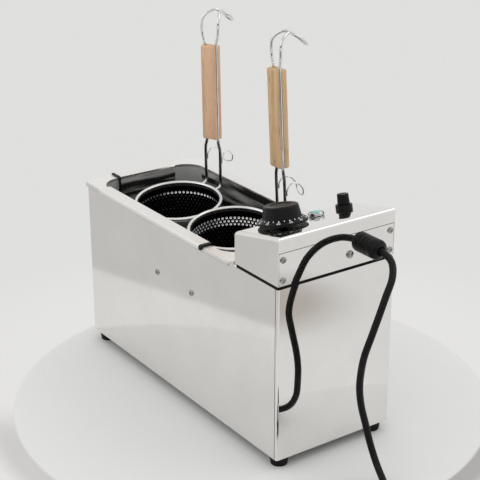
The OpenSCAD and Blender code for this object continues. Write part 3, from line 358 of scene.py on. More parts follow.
class Shading:
    """Node tree built up socket by socket."""

    def __init__(self, tree):
        self.tree = tree

    def add(self, kind, **inputs):
        """New node with some of its inputs set."""
        made = self.tree.nodes.new(kind)
        for key, value in inputs.items():
            made.inputs[key.replace("_", " ")].default_value = value
        return made

    def link(self, source, target):
        """Link from an output to an input."""
        self.tree.links.new(source, target)

    def put(self, socket, value):
        """Links a node's output to an input, or sets a plain number or colour on it."""
        if hasattr(value, "is_linked"):
            self.link(value, socket)
        else:
            socket.default_value = (*value, 1.0) if hasattr(value, "__len__") else value

    def place(self, scale=(1, 1, 1)):
        """Object coordinates, stretched by a scale."""
        coords = self.add("ShaderNodeTexCoord")
        mapping = self.add("ShaderNodeMapping", Scale=scale)
        self.link(coords.outputs["Object"], mapping.inputs["Vector"])
        return mapping.outputs["Vector"]

    def axis(self, vector, letter):
        """One component of a vector."""
        made = self.add("ShaderNodeSeparateXYZ")
        self.link(vector, made.inputs["Vector"])
        return made.outputs[letter]

    def coordinate(self, letter):
        """One of the Object coordinates."""
        return self.axis(self.place(), letter)

    def attribute(self, name):
        """A piece's own attribute, as a number."""
        made = self.add("ShaderNodeAttribute")
        made.attribute_name = name
        return made.outputs["Fac"]

    def noise(self, scale, detail=3.0, roughness=0.5, stretch=(1, 1, 1)):
        """Noise on Object coordinates, stretched by a scale."""
        made = self.add("ShaderNodeTexNoise", Scale=scale, Detail=detail, Roughness=roughness)
        self.link(self.place(stretch), made.inputs["Vector"])
        return made.outputs["Fac"]

    def ramp(self, value, stops):
        """Colour or grey by a value, through (position, colour) stops."""
        made = self.add("ShaderNodeValToRGB")
        marks = made.color_ramp.elements
        for i, (at, colour) in enumerate(stops):
            mark = marks[i] if i < 2 else marks.new(at)
            mark.position = at
            mark.color = (*colour, 1.0) if hasattr(colour, "__len__") else (colour,) * 3 + (1.0,)
        self.link(value, made.inputs["Fac"])
        return made.outputs["Color"]

    def tones(self, value, colour, *stops):
        """Shades of one colour by a value, through (position, factor) stops."""
        return self.ramp(value, [(at, shade(colour, factor)) for at, factor in stops])

    def measure(self, operation, vector, other):
        """A number from two vectors, of which the second is fixed."""
        made = self.add("ShaderNodeVectorMath")
        made.operation = operation
        self.link(vector, made.inputs[0])
        made.inputs[1].default_value = other
        return made.outputs["Value"]

    def towards(self, vector, direction):
        """How far a vector goes in a direction."""
        return self.measure("DOT_PRODUCT", vector, direction)

    def away(self, centre):
        """Distance from a point, in Object coordinates."""
        return self.measure("DISTANCE", self.place(), centre)

    def rise(self, value, low, high):
        """0 below one value and 1 above another, with a smooth step between."""
        made = self.add("ShaderNodeMapRange", From_Min=low, From_Max=high)
        made.interpolation_type = "SMOOTHSTEP"
        self.link(value, made.inputs["Value"])
        return made.outputs["Result"]

    def fall(self, value, low, high):
        """1 below one value and 0 above another, with a smooth step between."""
        return self.join("SUBTRACT", 1.0, self.rise(value, low, high))

    def join(self, operation, a, b):
        """Two values through one step of arithmetic."""
        made = self.add("ShaderNodeMath")
        made.operation = operation
        for socket, value in zip(made.inputs, (a, b)):
            self.put(socket, value)
        return made.outputs[0]

    def rays(self, *kinds):
        """1 for rays of the named kinds, 0 for all others."""
        path = self.add("ShaderNodeLightPath")
        seen = path.outputs[f"Is {kinds[0]} Ray"]
        for kind in kinds[1:]:
            seen = self.join("MAXIMUM", seen, path.outputs[f"Is {kind} Ray"])
        return seen

    def mix(self, factor, a, b):
        """Colour a where the factor is 0, and b where it is 1."""
        made = self.tree.nodes.new("ShaderNodeMix")
        made.data_type = "RGBA"
        for socket, value in ((made.inputs["Factor"], factor), (made.inputs[6], a), (made.inputs[7], b)):
            self.put(socket, value)
        return made.outputs[2]

    def bump(self, height, distance, strength=1.0, after=None):
        """Normal tilted by a height, after another bump where there is one."""
        made = self.add("ShaderNodeBump", Distance=distance, Strength=strength)
        self.link(height, made.inputs["Height"])
        if after is not None:
            self.link(after, made.inputs["Normal"])
        return made.outputs["Normal"]

    def blend(self, factor, first, second, output):
        """Surface of an output node: the first shader where the factor is 0, the second where it is 1."""
        mixed = self.add("ShaderNodeMixShader")
        for socket, source in zip(mixed.inputs, (factor, first.outputs[0], second.outputs[0])):
            self.link(source, socket)
        self.link(mixed.outputs[0], self.tree.nodes[output].inputs["Surface"])


class Finish(Shading):
    """Procedural finish of a piece."""

    def __init__(self, name):
        self.material = bpy.data.materials.new(name)
        self.material.use_nodes = True
        super().__init__(self.material.node_tree)
        self.shader = self.tree.nodes["Principled BSDF"]

    def set(self, **inputs):
        """Sets or links inputs of the shader."""
        for key, value in inputs.items():
            self.put(self.shader.inputs[key.replace("_", " ")], value)

    def patchy(self, colour, low, high):
        """A colour that wanders between two shades of itself."""
        return self.tones(self.noise(26.0, 5.0, 0.6), colour, (0.3, low), (0.72, high))

    def drawn(self, low, high, grain):
        """Uneven roughness between two values, over a fine grain along one direction."""
        rough = self.ramp(self.noise(60.0, 4.0, 0.6), [(0.3, low), (0.75, high)])
        self.set(Roughness=rough, Normal=self.bump(self.noise(500.0, 2.0, 0.5, grain), 0.00003, 0.25))

    def scratched(self, after=None):
        """Normal with hair-fine upright scratches."""
        return self.bump(self.noise(420.0, 2.0, 0.5, (1, 1, 0.04)), 0.00002, 0.12, after)


def polished_steel(name, colour, roughness, wave_mm, cut_x=None, bend_z=None):
    """Mirror-polished sheet: wide shallow waves, cloudy polish and hair-fine scratches. A cut edge at cut_x
    is painted dark as the shade in the seam behind it, and just below a bend at bend_z the sheet leans back
    from the folding."""
    f = Finish(name)
    tone = f.tones(f.noise(14.0, 4.0, 0.6), colour, (0.3, 0.96), (0.7, 1.02))
    if cut_x:
        # Painted shade: the cut edge is coloured near black, as the seam's shadow
        cut = f.rise(f.coordinate("X"), cut_x - 0.0005, cut_x - 0.0003)
        tone = f.mix(cut, tone, (0.02, 0.02, 0.02))
    smear = f.noise(38.0, 5.0, 0.65, (1, 1, 0.35))
    wave = f.bump(f.noise(5.5, 1.0, 0.3), wave_mm * MM)
    if bend_z:
        wave = f.bump(f.fall(f.coordinate("Z"), bend_z - 0.0050, bend_z + 0.0025), 0.0016, 1.0, wave)
    f.set(
        Metallic=1.0, Base_Color=tone, Normal=f.scratched(wave),
        Roughness=f.ramp(smear, [(0.35, roughness * 0.6), (0.75, roughness * 1.7)]),
    )
    return f.material


def rack_steel(name, colour, top_z, outward, inner, along, reach, shaded_end):
    """Plates of the rack: mirror inside the tank with painted reflections as dark and light streaks, satin
    and painted lighter as light on the hooked top and the lip that lies outward of the inner plate, and
    painted nearly black as shade at the cut end, which lies a reach along a direction."""
    f = Finish(name)
    top = f.rise(f.coordinate("Z"), top_z - 0.0012, top_z - 0.0006)
    lip = f.rise(f.towards(f.place(), outward), inner, inner + 0.0005)
    # On the top and the lip, outside the tank: satin, and painted lighter as light
    satin = f.join("MAXIMUM", top, lip)
    # Painted reflections: streaks from near black to bright on the plates inside the tank
    streak = f.noise(46.0, 3.0, 0.55, (0.16, 0.16, 2.2))
    tone = f.mix(satin, f.tones(streak, colour, (0.44, 0.06), (0.54, 0.8), (0.64, 1.4)), shade(colour, 1.3))
    # Painted shade: the cut end is coloured nearly black
    cut = f.rise(f.towards(f.place(), along), reach - shaded_end, reach - shaded_end + 0.0005)
    smear = f.ramp(f.noise(38.0, 5.0, 0.65), [(0.35, 0.03), (0.75, 0.09)])
    f.set(
        Metallic=0.66, Base_Color=f.mix(cut, tone, (0.012, 0.012, 0.012)),
        Roughness=f.mix(satin, smear, (0.40, 0.40, 0.40)), Normal=f.scratched(),
    )
    return f.material


def worn_steel(name, colour, roughness, grain):
    """Drawn or satin sheet: fine grain along one direction and dull patches."""
    f = Finish(name)
    f.set(Metallic=1.0, Base_Color=f.patchy(colour, 0.82, 1.1))
    f.drawn(roughness * 0.7, roughness * 1.4, grain)
    return f.material


def wire_steel(colour, foot_z, grip_z):
    """Handle wire: bright at its foot and above the grip's lower end, with a painted dark reflection
    between.
    """
    f = Finish("wire_steel")
    height = f.coordinate("Z")
    above_foot = f.rise(height, foot_z + 0.006, foot_z + 0.014)
    # Painted reflection: the wire is coloured dark where it mirrors the dark tank
    dark_reflection = f.join("MULTIPLY", above_foot, f.fall(height, grip_z - 0.005, grip_z + 0.001))
    f.set(Metallic=1.0, Base_Color=f.mix(dark_reflection, f.patchy(colour, 0.82, 1.1), shade(colour, 0.16)))
    f.drawn(0.05, 0.10, (1, 1, 0.03))
    return f.material


def tank_steel(bright, dull, roughness, flange_z):
    """Pressed tank: bright on its flange, dulled inside by boiling water and scale, and painted darker low
    inside as shade.
    """
    f = Finish("tank_steel")
    height = f.coordinate("Z")
    scale = f.tones(f.noise(18.0, 5.0, 0.65), dull, (0.3, 0.9), (0.75, 1.08))
    # Painted shade: the inside darkens to 0.12 of its colour towards the bottom
    inside = f.mix(f.rise(height, flange_z - 0.070, flange_z - 0.025), shade(dull, 0.12), scale)
    flange = f.rise(height, flange_z - 0.006, flange_z - 0.001)
    f.set(
        Base_Color=f.mix(flange, inside, bright), Metallic=f.rise(flange, -0.55, 1.0),
        Roughness=f.ramp(f.noise(30.0, 4.0, 0.6), [(0.3, roughness * 0.8), (0.75, roughness * 1.25)]),
        Normal=f.bump(f.noise(9.0, 1.0, 0.4), 0.0003),
    )
    return f.material


def stained_steel(colour, lip):
    """Inside of the cups: perforated sheet, painted near black as the shade inside them. Where the attribute
    pale is 1, the lips of the holes are painted pale and glow a little, as painted light that falls through
    the holes. The attribute from_hole is the distance from a hole's centre."""
    f = Finish("stained_steel")
    spread = f.attribute("from_hole")
    # Painted light: the marked lips are pale and glow a little
    ring = f.join("MULTIPLY", f.fall(spread, 0.00155, 0.0018), f.attribute("pale"))
    f.set(
        Base_Color=f.mix(ring, f.patchy(colour, 0.8, 1.15), lip), Metallic=f.join("SUBTRACT", 1.0, ring),
        Emission_Color=lip, Emission_Strength=f.join("MULTIPLY", ring, 0.35),
        Roughness=f.ramp(ring, [(0.0, 0.26), (1.0, 0.5)]),
        Normal=f.bump(f.rise(spread, 0.0009, 0.0019), 0.0004),
    )
    return f.material


def cup_steel(colour, top_z):
    """Outside of the cups: satin near the rim, painted darker below as shade down in the tank."""
    f = Finish("cup_steel")
    # Painted shade: the wall darkens to 0.07 of its colour below the rim
    unshaded_top = f.rise(f.coordinate("Z"), top_z - 0.060, top_z - 0.012)
    f.set(Metallic=1.0, Base_Color=f.mix(unshaded_top, shade(colour, 0.07), f.patchy(colour, 0.86, 1.1)))
    f.drawn(0.24, 0.42, (1, 1, 0.05))
    return f.material


def beech_wood(name, light, dark, stretch):
    """Turned beech: long grain streaks with short darker flecks along the handle."""
    f = Finish(name)
    streak = f.noise(90.0, 5.0, 0.62, stretch)
    tone = f.ramp(streak, [(0.28, dark), (0.5, light), (0.78, shade(light, 1.12))])
    fleck = f.ramp(f.noise(520.0, 2.0, 0.5, (1, 1, 0.12)), [(0.60, 0.0), (0.72, 1.0)])
    f.set(
        Base_Color=f.mix(fleck, tone, shade(dark, 0.9)), Specular_IOR_Level=0.25,
        Roughness=f.ramp(streak, [(0.3, 0.62), (0.75, 0.48)]), Normal=f.bump(streak, 0.00012, 0.35),
    )
    return f.material


def moulded(name, colour, roughness, grain_mm):
    """Moulded plastic or rubber: a fine even grain and slightly worn, greyer patches."""
    f = Finish(name)
    patch = f.noise(45.0, 4.0, 0.6)
    f.set(
        Base_Color=f.tones(patch, colour, (0.35, 1.0), (0.8, 1.6)), Specular_IOR_Level=0.16,
        Roughness=f.ramp(patch, [(0.3, roughness * 0.85), (0.75, min(1.0, roughness * 1.25))]),
        Normal=f.bump(f.noise(1400.0, 2.0, 0.5), grain_mm * MM, 0.4),
    )
    return f.material


def lamp_green(colour):
    """Tinted lens over a bright reflector: glossy, paler where the ribs behind it catch light."""
    f = Finish("lamp_green")
    cells = f.add("ShaderNodeTexVoronoi", Scale=520.0)
    f.link(f.place(), cells.inputs["Vector"])
    ribs = cells.outputs["Distance"]
    f.set(
        Base_Color=f.tones(ribs, colour, (0.1, 1.5), (0.6, 1.0)), Normal=f.bump(ribs, 0.0004, 0.5),
        Roughness=0.08, Coat_Weight=1.0, Coat_Roughness=0.03, IOR=1.49,
    )
    return f.material


def printed_white():
    """White print on the dial, slightly uneven."""
    f = Finish("printed_white")
    f.set(Base_Color=f.ramp(f.noise(900.0), [(0.3, 0.88), (0.7, 0.96)]), Roughness=0.55)
    return f.material


# Finishes by the names that the steps use, filled by the step that makes them

FINISHES = {}


# Settings


def tint(label, default, text):
    """Colour that a user can change."""
    return FloatVectorProperty(
        name=label, description=text, subtype="COLOR", size=3, min=0, max=1, default=default
    )


def share(label, default, text):
    """Number from 0 to 1 that a user can change."""
    return FloatProperty(name=label, description=text, subtype="FACTOR", min=0, max=1, default=default)


def length_mm(label, default, text, low, high):
    """Length in millimetres that a user can change."""
    text += ", in millimetres"
    return FloatProperty(name=label, description=text, min=low, max=high, default=default)


def power(label, default, text):
    """Power of a lamp that a user can change."""
    return FloatProperty(name=label, description=text, unit="POWER", min=0, max=200, default=default)


class SteelLook(bpy.types.PropertyGroup):
    """Finish of the stainless sheet and wire."""

    sheet: tint("Sheet", (0.85, 0.838, 0.822), "Colour of the polished sheet")
    sheet_roughness: share("Sheet roughness", 0.07, "Roughness of the polished sheet")
    wave: length_mm("Waves", 0.35, "Height of the shallow waves in the sheet", 0.0, 2.0)
    inside: tint("Tank inside", (0.56, 0.56, 0.55), "Colour of the tank's dulled inside")
    rack: tint("Rack", (0.66, 0.65, 0.635), "Colour of the rack's polished plates")
    # The cups' near-black colour is painted shade, and the lips' colour is painted light through the holes
    cup: tint("Cups", (0.016, 0.015, 0.0145), "Colour of the stained inside of the cups")
    lip: tint("Lips", (0.97, 0.965, 0.955), "Colour of the bright lips of the holes")
    wire: tint("Wire", (0.80, 0.795, 0.785), "Colour of the handles' wire")
    rim: tint("Rim", (0.90, 0.895, 0.885), "Colour of the baskets' rims")
    element: tint("Element", (0.36, 0.35, 0.34), "Colour of the heating element")


class BasketLook(bpy.types.PropertyGroup):
    """Shape of the baskets' perforation and the colour of their grips."""

    columns: IntProperty(name="Columns", description="Holes in a ring of a cup", min=32, max=96, default=64)
    row_pitch: length_mm("Row pitch", 4.3, "Height between two rings of holes", 3.0, 10.0)
    hole: length_mm("Hole", 1.7, "Diameter of a hole in a cup", 1.0, 5.0)
    band: length_mm("Band", 9.0, "Height of the plain band below the rim", 5.0, 40.0)
    light: tint("Light beech", (0.69, 0.445, 0.285), "Colour of the first grip between its streaks")
    dark: tint("Dark beech", (0.56, 0.345, 0.205), "Colour of the first grip's darker streaks")
    light_2: tint("Light stripes", (0.62, 0.42, 0.235), "Colour of the second grip between its streaks")
    dark_2: tint("Dark stripes", (0.42, 0.265, 0.13), "Colour of the second grip's darker streaks")


class PlasticLook(bpy.types.PropertyGroup):
    """Colours of the moulded pieces."""

    black: tint("Black", (0.006, 0.006, 0.006), "Colour of the dial, the fuse holder and the gland")
    rubber: tint("Rubber", (0.006, 0.006, 0.006), "Colour of the feet and the cord")
    lens: tint("Lens", (0.14, 0.50, 0.42), "Colour of the lamp's lens")
    cream: tint("Cream", (0.72, 0.69, 0.60), "Colour of the terminal block")


class StageLook(bpy.types.PropertyGroup):
    """Floor, surroundings and lamps."""

    disc: tint("Disc", (0.80, 0.80, 0.785), "Colour of the round stand under the object")
    ring: tint("Ring", (0.78, 0.775, 0.76), "Colour that shows round the stand")
    # The stand's edge colour is painted shade of its side and its shadow, and also what the front mirrors
    front: tint("Stand edge", (0.61, 0.60, 0.585), "Colour of the stand's edge and of the mirrored floor")
    far: tint("Surroundings", (0.745, 0.742, 0.73), "Colour that the surroundings show")
    dim: tint("Dim side", (0.50, 0.465, 0.435), "Colour of the dimmer side, seen in the polished end")
    sky: tint("Overhead", (0.80, 0.80, 0.79), "Colour overhead, seen in the polished tops")
    dark: tint("Camera side", (0.06, 0.06, 0.06), "Colour on the camera's side, seen in the wires")
    ambient: share("Ambient", 0.88, "Strength of the light from all round")
    key: power("Key lamp", 6, "Power of the main lamp")
    fill: power("Fill lamp", 5, "Power of the fill lamp")


# Operators


class COOKER_OT_stage(bpy.types.Operator):
    """Camera, floor, surroundings and lamps"""

    bl_idname = "cooker.stage"
    bl_label = "Stage"

    # Height of the point at which the lamps are aimed
    AIM_Z = 0.15

    def execute(self, context):
        scene, look = context.scene, context.scene.cooker_stage
        scene.view_settings.view_transform = "Standard"
        scene.camera = self.camera()
        scene.world = self.surroundings(look)
        self.floor(look)
        self.lamp("key_lamp", (0.9, 1.3, 2.0), look.key, 1.6)
        self.lamp("fill_lamp", (-0.6, -1.6, 1.4), look.fill, 1.8)
        return {"FINISHED"}

    def camera(self):
        """Camera at its own place, turned to its own axes."""
        lens = bpy.data.cameras.new("camera")
        lens.lens = CAMERA_LENS_MM
        lens.sensor_width = CAMERA_SENSOR_MM
        lens.clip_start, lens.clip_end = 0.05, 60
        cam = add_object("camera", lens)
        set_pose(cam, *unit(np.array(CAMERA_AXES)), CAMERA_EYE)
        return cam

    def floor(self, look):
        """Flat disc of rings, z = 0: radii grow from the middle to the far edge."""
        radii = np.concatenate([[0.0], np.geomspace(0.05, 14.0, 40)])
        points, faces = revolved(np.stack([radii, np.zeros_like(radii)], -1), TURNED_COLUMNS)
        obj = add_object("floor", make_mesh("floor", points, faces))
        obj.data.materials.append(self.floor_card(look))
        if obj.data.polygons[0].normal.z < 0:
            obj.data.flip_normals()

    def floor_card(self, look):
        """Pale round stand that takes shadows, with its near side painted as a darker band of shade and a
        painted shadow beyond it, on a floor that shows its own even colour. In polished pieces the floor is
        paler far away, dim beside the end and dark on the camera's side."""
        f = Finish("floor_card")
        spread = f.away(STAND_CENTRE)
        outside = f.rise(spread, STAND_R - 0.002, STAND_R + 0.003)
        f.set(Base_Color=f.mix(outside, look.disc, look.ring), Roughness=0.75, Specular_IOR_Level=0.2)
        plain = f.mix(f.rise(spread, 0.36, 0.60), look.ring, look.far)
        # Painted shadow: the stand's edge colour, darker still beyond x = 0.33 m
        edge = f.mix(f.rise(f.coordinate("X"), 0.250, 0.330), look.front, shade(look.front, 0.7))
        near = f.mix(f.rise(f.towards(f.place(), CAMERA_SIDE), 0.06, 0.16), plain, edge)
        # Painted shade of the stand's near side, in a band just beyond its edge
        direct = f.mix(f.rise(spread, *STAND_SHADE_BAND), near, plain)
        mirrored = f.mix(f.rise(f.towards(f.place(), FRONT_SIDE), 0.328, 0.345), plain, look.front)
        mirrored = f.mix(f.rise(spread, 1.5, 4.0), mirrored, look.sky)
        mirrored = f.mix(f.rise(f.away(DIM_PLACE), 0.03, 0.15), look.dim, mirrored)
        mirrored = f.mix(f.rise(f.away(DARK_PLACE), 0.45, 0.85), look.dark, mirrored)
        glow = f.add("ShaderNodeEmission")
        f.link(f.mix(f.rays("Glossy"), direct, mirrored), glow.inputs["Color"])
        f.blend(f.join("MULTIPLY", outside, f.rays(*SEEN)), f.shader, glow, "Material Output")
        return f.material

    def surroundings(self, look):
        """Even light from all round; polished pieces see it paler overhead and dark low behind the
        camera."""
        world = bpy.data.worlds.new("surroundings")
        world.use_nodes = True
        w = Shading(world.node_tree)
        light = w.tree.nodes["Background"]
        light.inputs["Color"].default_value = (1.0, 1.0, 1.0, 1.0)
        light.inputs["Strength"].default_value = look.ambient
        aim = w.add("ShaderNodeTexCoord").outputs["Generated"]
        height = w.axis(aim, "Z")
        above = w.mix(w.rise(height, -0.10, 0.02), look.far, look.sky)
        behind = w.rise(w.towards(aim, CAMERA_SIDE), 0.55, 0.80)
        low_behind = w.join("MULTIPLY", behind, w.fall(height, 0.10, 0.30))
        shown = w.add("ShaderNodeBackground")
        w.link(w.mix(w.rays("Glossy"), look.far, w.mix(low_behind, above, look.dark)), shown.inputs["Color"])
        w.blend(w.rays(*SEEN), light, shown, "World Output")
        return world

    def lamp(self, name, place, watts, size):
        """Round area lamp at a place, aimed at the middle of the object."""
        light = bpy.data.lights.new(name, "AREA")
        light.shape = "DISK"
        light.size = size
        light.energy = watts
        back = unit(np.array(place) - (0.0, 0.0, self.AIM_Z))
        right = unit(np.cross([0.0, 0.0, 1.0], back))
        set_pose(add_object(name, light), right, np.cross(back, right), back, place)


class COOKER_OT_finishes(bpy.types.Operator):
    """Procedural finishes that the pieces share"""

    bl_idname = "cooker.finishes"
    bl_label = "Finishes"

    # Room between the rack's floor and the lips of its plates, and the lengths of the plates' ends that are
    # painted dark as shade
    RACK_ROOM, DARK_RAIL, DARK_END = 0.003, 0.005, 0.0025

    def execute(self, context):
        scene = context.scene
        self.steels(scene.cooker_steel)
        self.rack(scene.cooker_steel.rack)
        self.plastics(scene.cooker_plastic)
        wood = scene.cooker_baskets
        FINISHES.update(
            beech_1=beech_wood("beech_pale", wood.light, wood.dark, (1, 1, 0.06)),
            beech_2=beech_wood("beech_striped", wood.light_2, wood.dark_2, (1.6, 1.6, 0.05)),
        )
        return {"FINISHED"}

    def steels(self, steel):
        """Finishes of the sheets, the wires and the small metal pieces."""
        sheet, wire = steel.sheet, steel.wire
        flange_z, cup_z = node_box("tank")[1][2], node_box("basket_cup_1")[1][2]
        wrap_x, cover_z = node_box("casing_wrap")[1][0], node_box("head_cover")[1][2]
        foot_z, grip_z = node_box("basket_rim_1")[1][2], node_box("basket_grip_1")[0][2]
        FINISHES.update(
            sheet=polished_steel("wrap_steel", sheet, steel.sheet_roughness, steel.wave, cut_x=wrap_x),
            end=polished_steel("end_steel", sheet, 0.03, 0.5 * steel.wave),
            head=polished_steel("head_steel", sheet, 0.03, 0.5 * steel.wave, bend_z=cover_z),
            hidden=worn_steel("hidden_steel", shade(sheet, 0.8), 0.25, (1, 0.05, 1)),
            base=worn_steel("base_steel", shade(sheet, 0.2), 0.45, (0.05, 1, 1)),
            tank=tank_steel(shade(sheet, 1.12), steel.inside, 0.36, flange_z),
            cup=cup_steel(shade(sheet, 0.8), cup_z),
            cup_inside=stained_steel(steel.cup, steel.lip),
            handle_wire=wire_steel(wire, foot_z, grip_z),
            pot_hook=worn_steel("hook_steel", wire, 0.07, (1, 1, 0.03)),
            rim=worn_steel("rim_steel", steel.rim, 0.26, (1, 1, 1)),
            screw=worn_steel("screw_steel", shade(sheet, 0.5), 0.2, (1, 1, 1)),
            element=worn_steel("element_steel", steel.element, 0.34, (0.05, 1, 1)),
            copper=worn_steel("bulb_copper", (0.62, 0.36, 0.22), 0.32, (0.05, 1, 1)),
            chrome=polished_steel("bezel_chrome", (0.55, 0.55, 0.55), 0.06, 0.02),
            brass=worn_steel("pin_brass", (0.74, 0.70, 0.60), 0.2, (1, 1, 1)),
        )

    def rack(self, colour):
        """Finishes of the rack's plates, which differ in where their lips and their cut ends lie."""
        low, high = node_box("rack_floor") + [[-self.RACK_ROOM], [self.RACK_ROOM]]
        rail_x, top_z = node_box("rack_front")[1][0], node_box("rack_front")[1][2]
        end_y = node_box("rack_end")[0][1]
        for side, *lie in (
            ("front", (0, -1, 0), -low[1], (1, 0, 0), rail_x, self.DARK_RAIL),
            ("rear", (0, 1, 0), high[1], (1, 0, 0), rail_x, self.DARK_RAIL),
            ("end", (-1, 0, 0), -low[0], (0, -1, 0), -end_y, self.DARK_END),
        ):
            FINISHES[f"rack_{side}"] = rack_steel(f"rack_steel_{side}", colour, top_z, *lie)

    def plastics(self, plastic):
        """Finishes of the moulded pieces, the lamp's lens and the dial's print."""
        FINISHES.update(
            black=moulded("black_plastic", plastic.black, 0.36, 0.02),
            rubber=moulded("foot_rubber", plastic.rubber, 0.62, 0.05),
            cord=moulded("cord_rubber", plastic.rubber, 0.42, 0.02),
            cream=moulded("cream_plastic", plastic.cream, 0.5, 0.02),
            lens=lamp_green(plastic.lens),
            print=printed_white(),
        )


class COOKER_OT_cord(bpy.types.Operator):
    """Power cord from its gland to the coil and the plug"""

    bl_idname = "cooker.cord"
    bl_label = "Power cord"

    # Length of the cord that stays inside the gland
    HELD_MM = 10

    def execute(self, context):
        route = curve_through(CORD_ROUTE_MM, 8)
        route = route[route[:, 0] > CORD_EXIT_MM[0] - self.HELD_MM]
        path = np.concatenate([route, self.coil()[1:]]) * MM
        cord = add_piece(
            "mains_cord", *tube(path, CORD_D_MM / 2 * MM), FINISHES["cord"], "head", "cord_rubber",
            ("power_cord", "cord_coil"),
        )
        tie = dress("cord_tie", FINISHES["black"], 0.3)
        plug = dress("plug_body", FINISHES["black"], 1.5, 3)
        pins = dress("plug_pins", FINISHES["brass"])
        return {"FINISHED"}

    def coil(self):
        """Coil in millimetres: the radius shrinks by a pitch a turn, stays for the half turn in
        which the height climbs one step as t t (3 - 2 t), and grows back as it shrank."""
        turns = np.linspace(0, COIL_TURNS, round(COIL_TURNS * 48) + 1)
        run = (COIL_TURNS - 0.5) / 2
        wound = np.clip(np.minimum(turns, COIL_TURNS - turns), 0, run)
        a = np.radians(COIL_START_DEG - 360 * turns)
        start = np.array(CORD_ROUTE_MM[-1], float)
        flat = start[:2] - polar(COIL_R_MM, a[0]) + polar(COIL_R_MM - COIL_PITCH_MM * wound, a)
        climb = COIL_STEP_MM * eased(np.clip((turns - run) * 2, 0, 1))
        points = np.column_stack([flat, start[2] + climb])
        heading = np.array([math.sin(a[-1]), -math.cos(a[-1]), 0.0])
        tail = points[-1] + heading * np.linspace(0, COIL_TAIL_MM, 5)[1:, None]
        return np.concatenate([points, tail])


class COOKER_OT_casing(bpy.types.Operator):
    """Casing, its screws and its feet"""

    bl_idname = "cooker.casing"
    bl_label = "Casing"

    def execute(self, context):
        dress("casing_wrap", FINISHES["sheet"])
        dress("end_panel", FINISHES["end"])
        for node in ("head_shelf", "tank_guide_front", "tank_guide_rear"):
            dress(node, FINISHES["hidden"])
        dress("base_plate", FINISHES["base"])
        for i in range(1, 5):
            dress(f"foot_{i}", FINISHES["rubber"], 1.0, 3)
        for node in ("foot_screws", "side_screws"):
            dress(node, FINISHES["screw"])
        return {"FINISHED"}


class COOKER_OT_tank(bpy.types.Operator):
    """Tank and basket rack"""

    bl_idname = "cooker.tank"
    bl_label = "Tank and rack"

    def execute(self, context):
        for node in ("tank", "rack_front", "rack_rear", "rack_end"):
            dress(node, FINISHES[node])
        dress("rack_floor", FINISHES["hidden"])
        return {"FINISHED"}


class COOKER_OT_head(bpy.types.Operator):
    """Control head with its element and gland"""

    bl_idname = "cooker.head"
    bl_label = "Control head"

    def execute(self, context):
        dress("head_cover", FINISHES["head"])
        dress("head_end_plate", FINISHES["end"])
        dress("head_base", FINISHES["hidden"])
        dress("head_gasket", FINISHES["rubber"])
        for node in ("end_screws", "earth_terminal", "element_collars", "dial_shaft"):
            dress(node, FINISHES["screw"])
        dress("heating_element", FINISHES["element"])
        dress("thermostat_bulb", FINISHES["copper"])
        dress("thermostat", FINISHES["black"], 0.6)
        dress("terminal_block", FINISHES["cream"], 0.4)
        for node in ("gland_body", "gland_cap", "gland_nut"):
            dress(node, FINISHES["black"], 0.4)
        return {"FINISHED"}


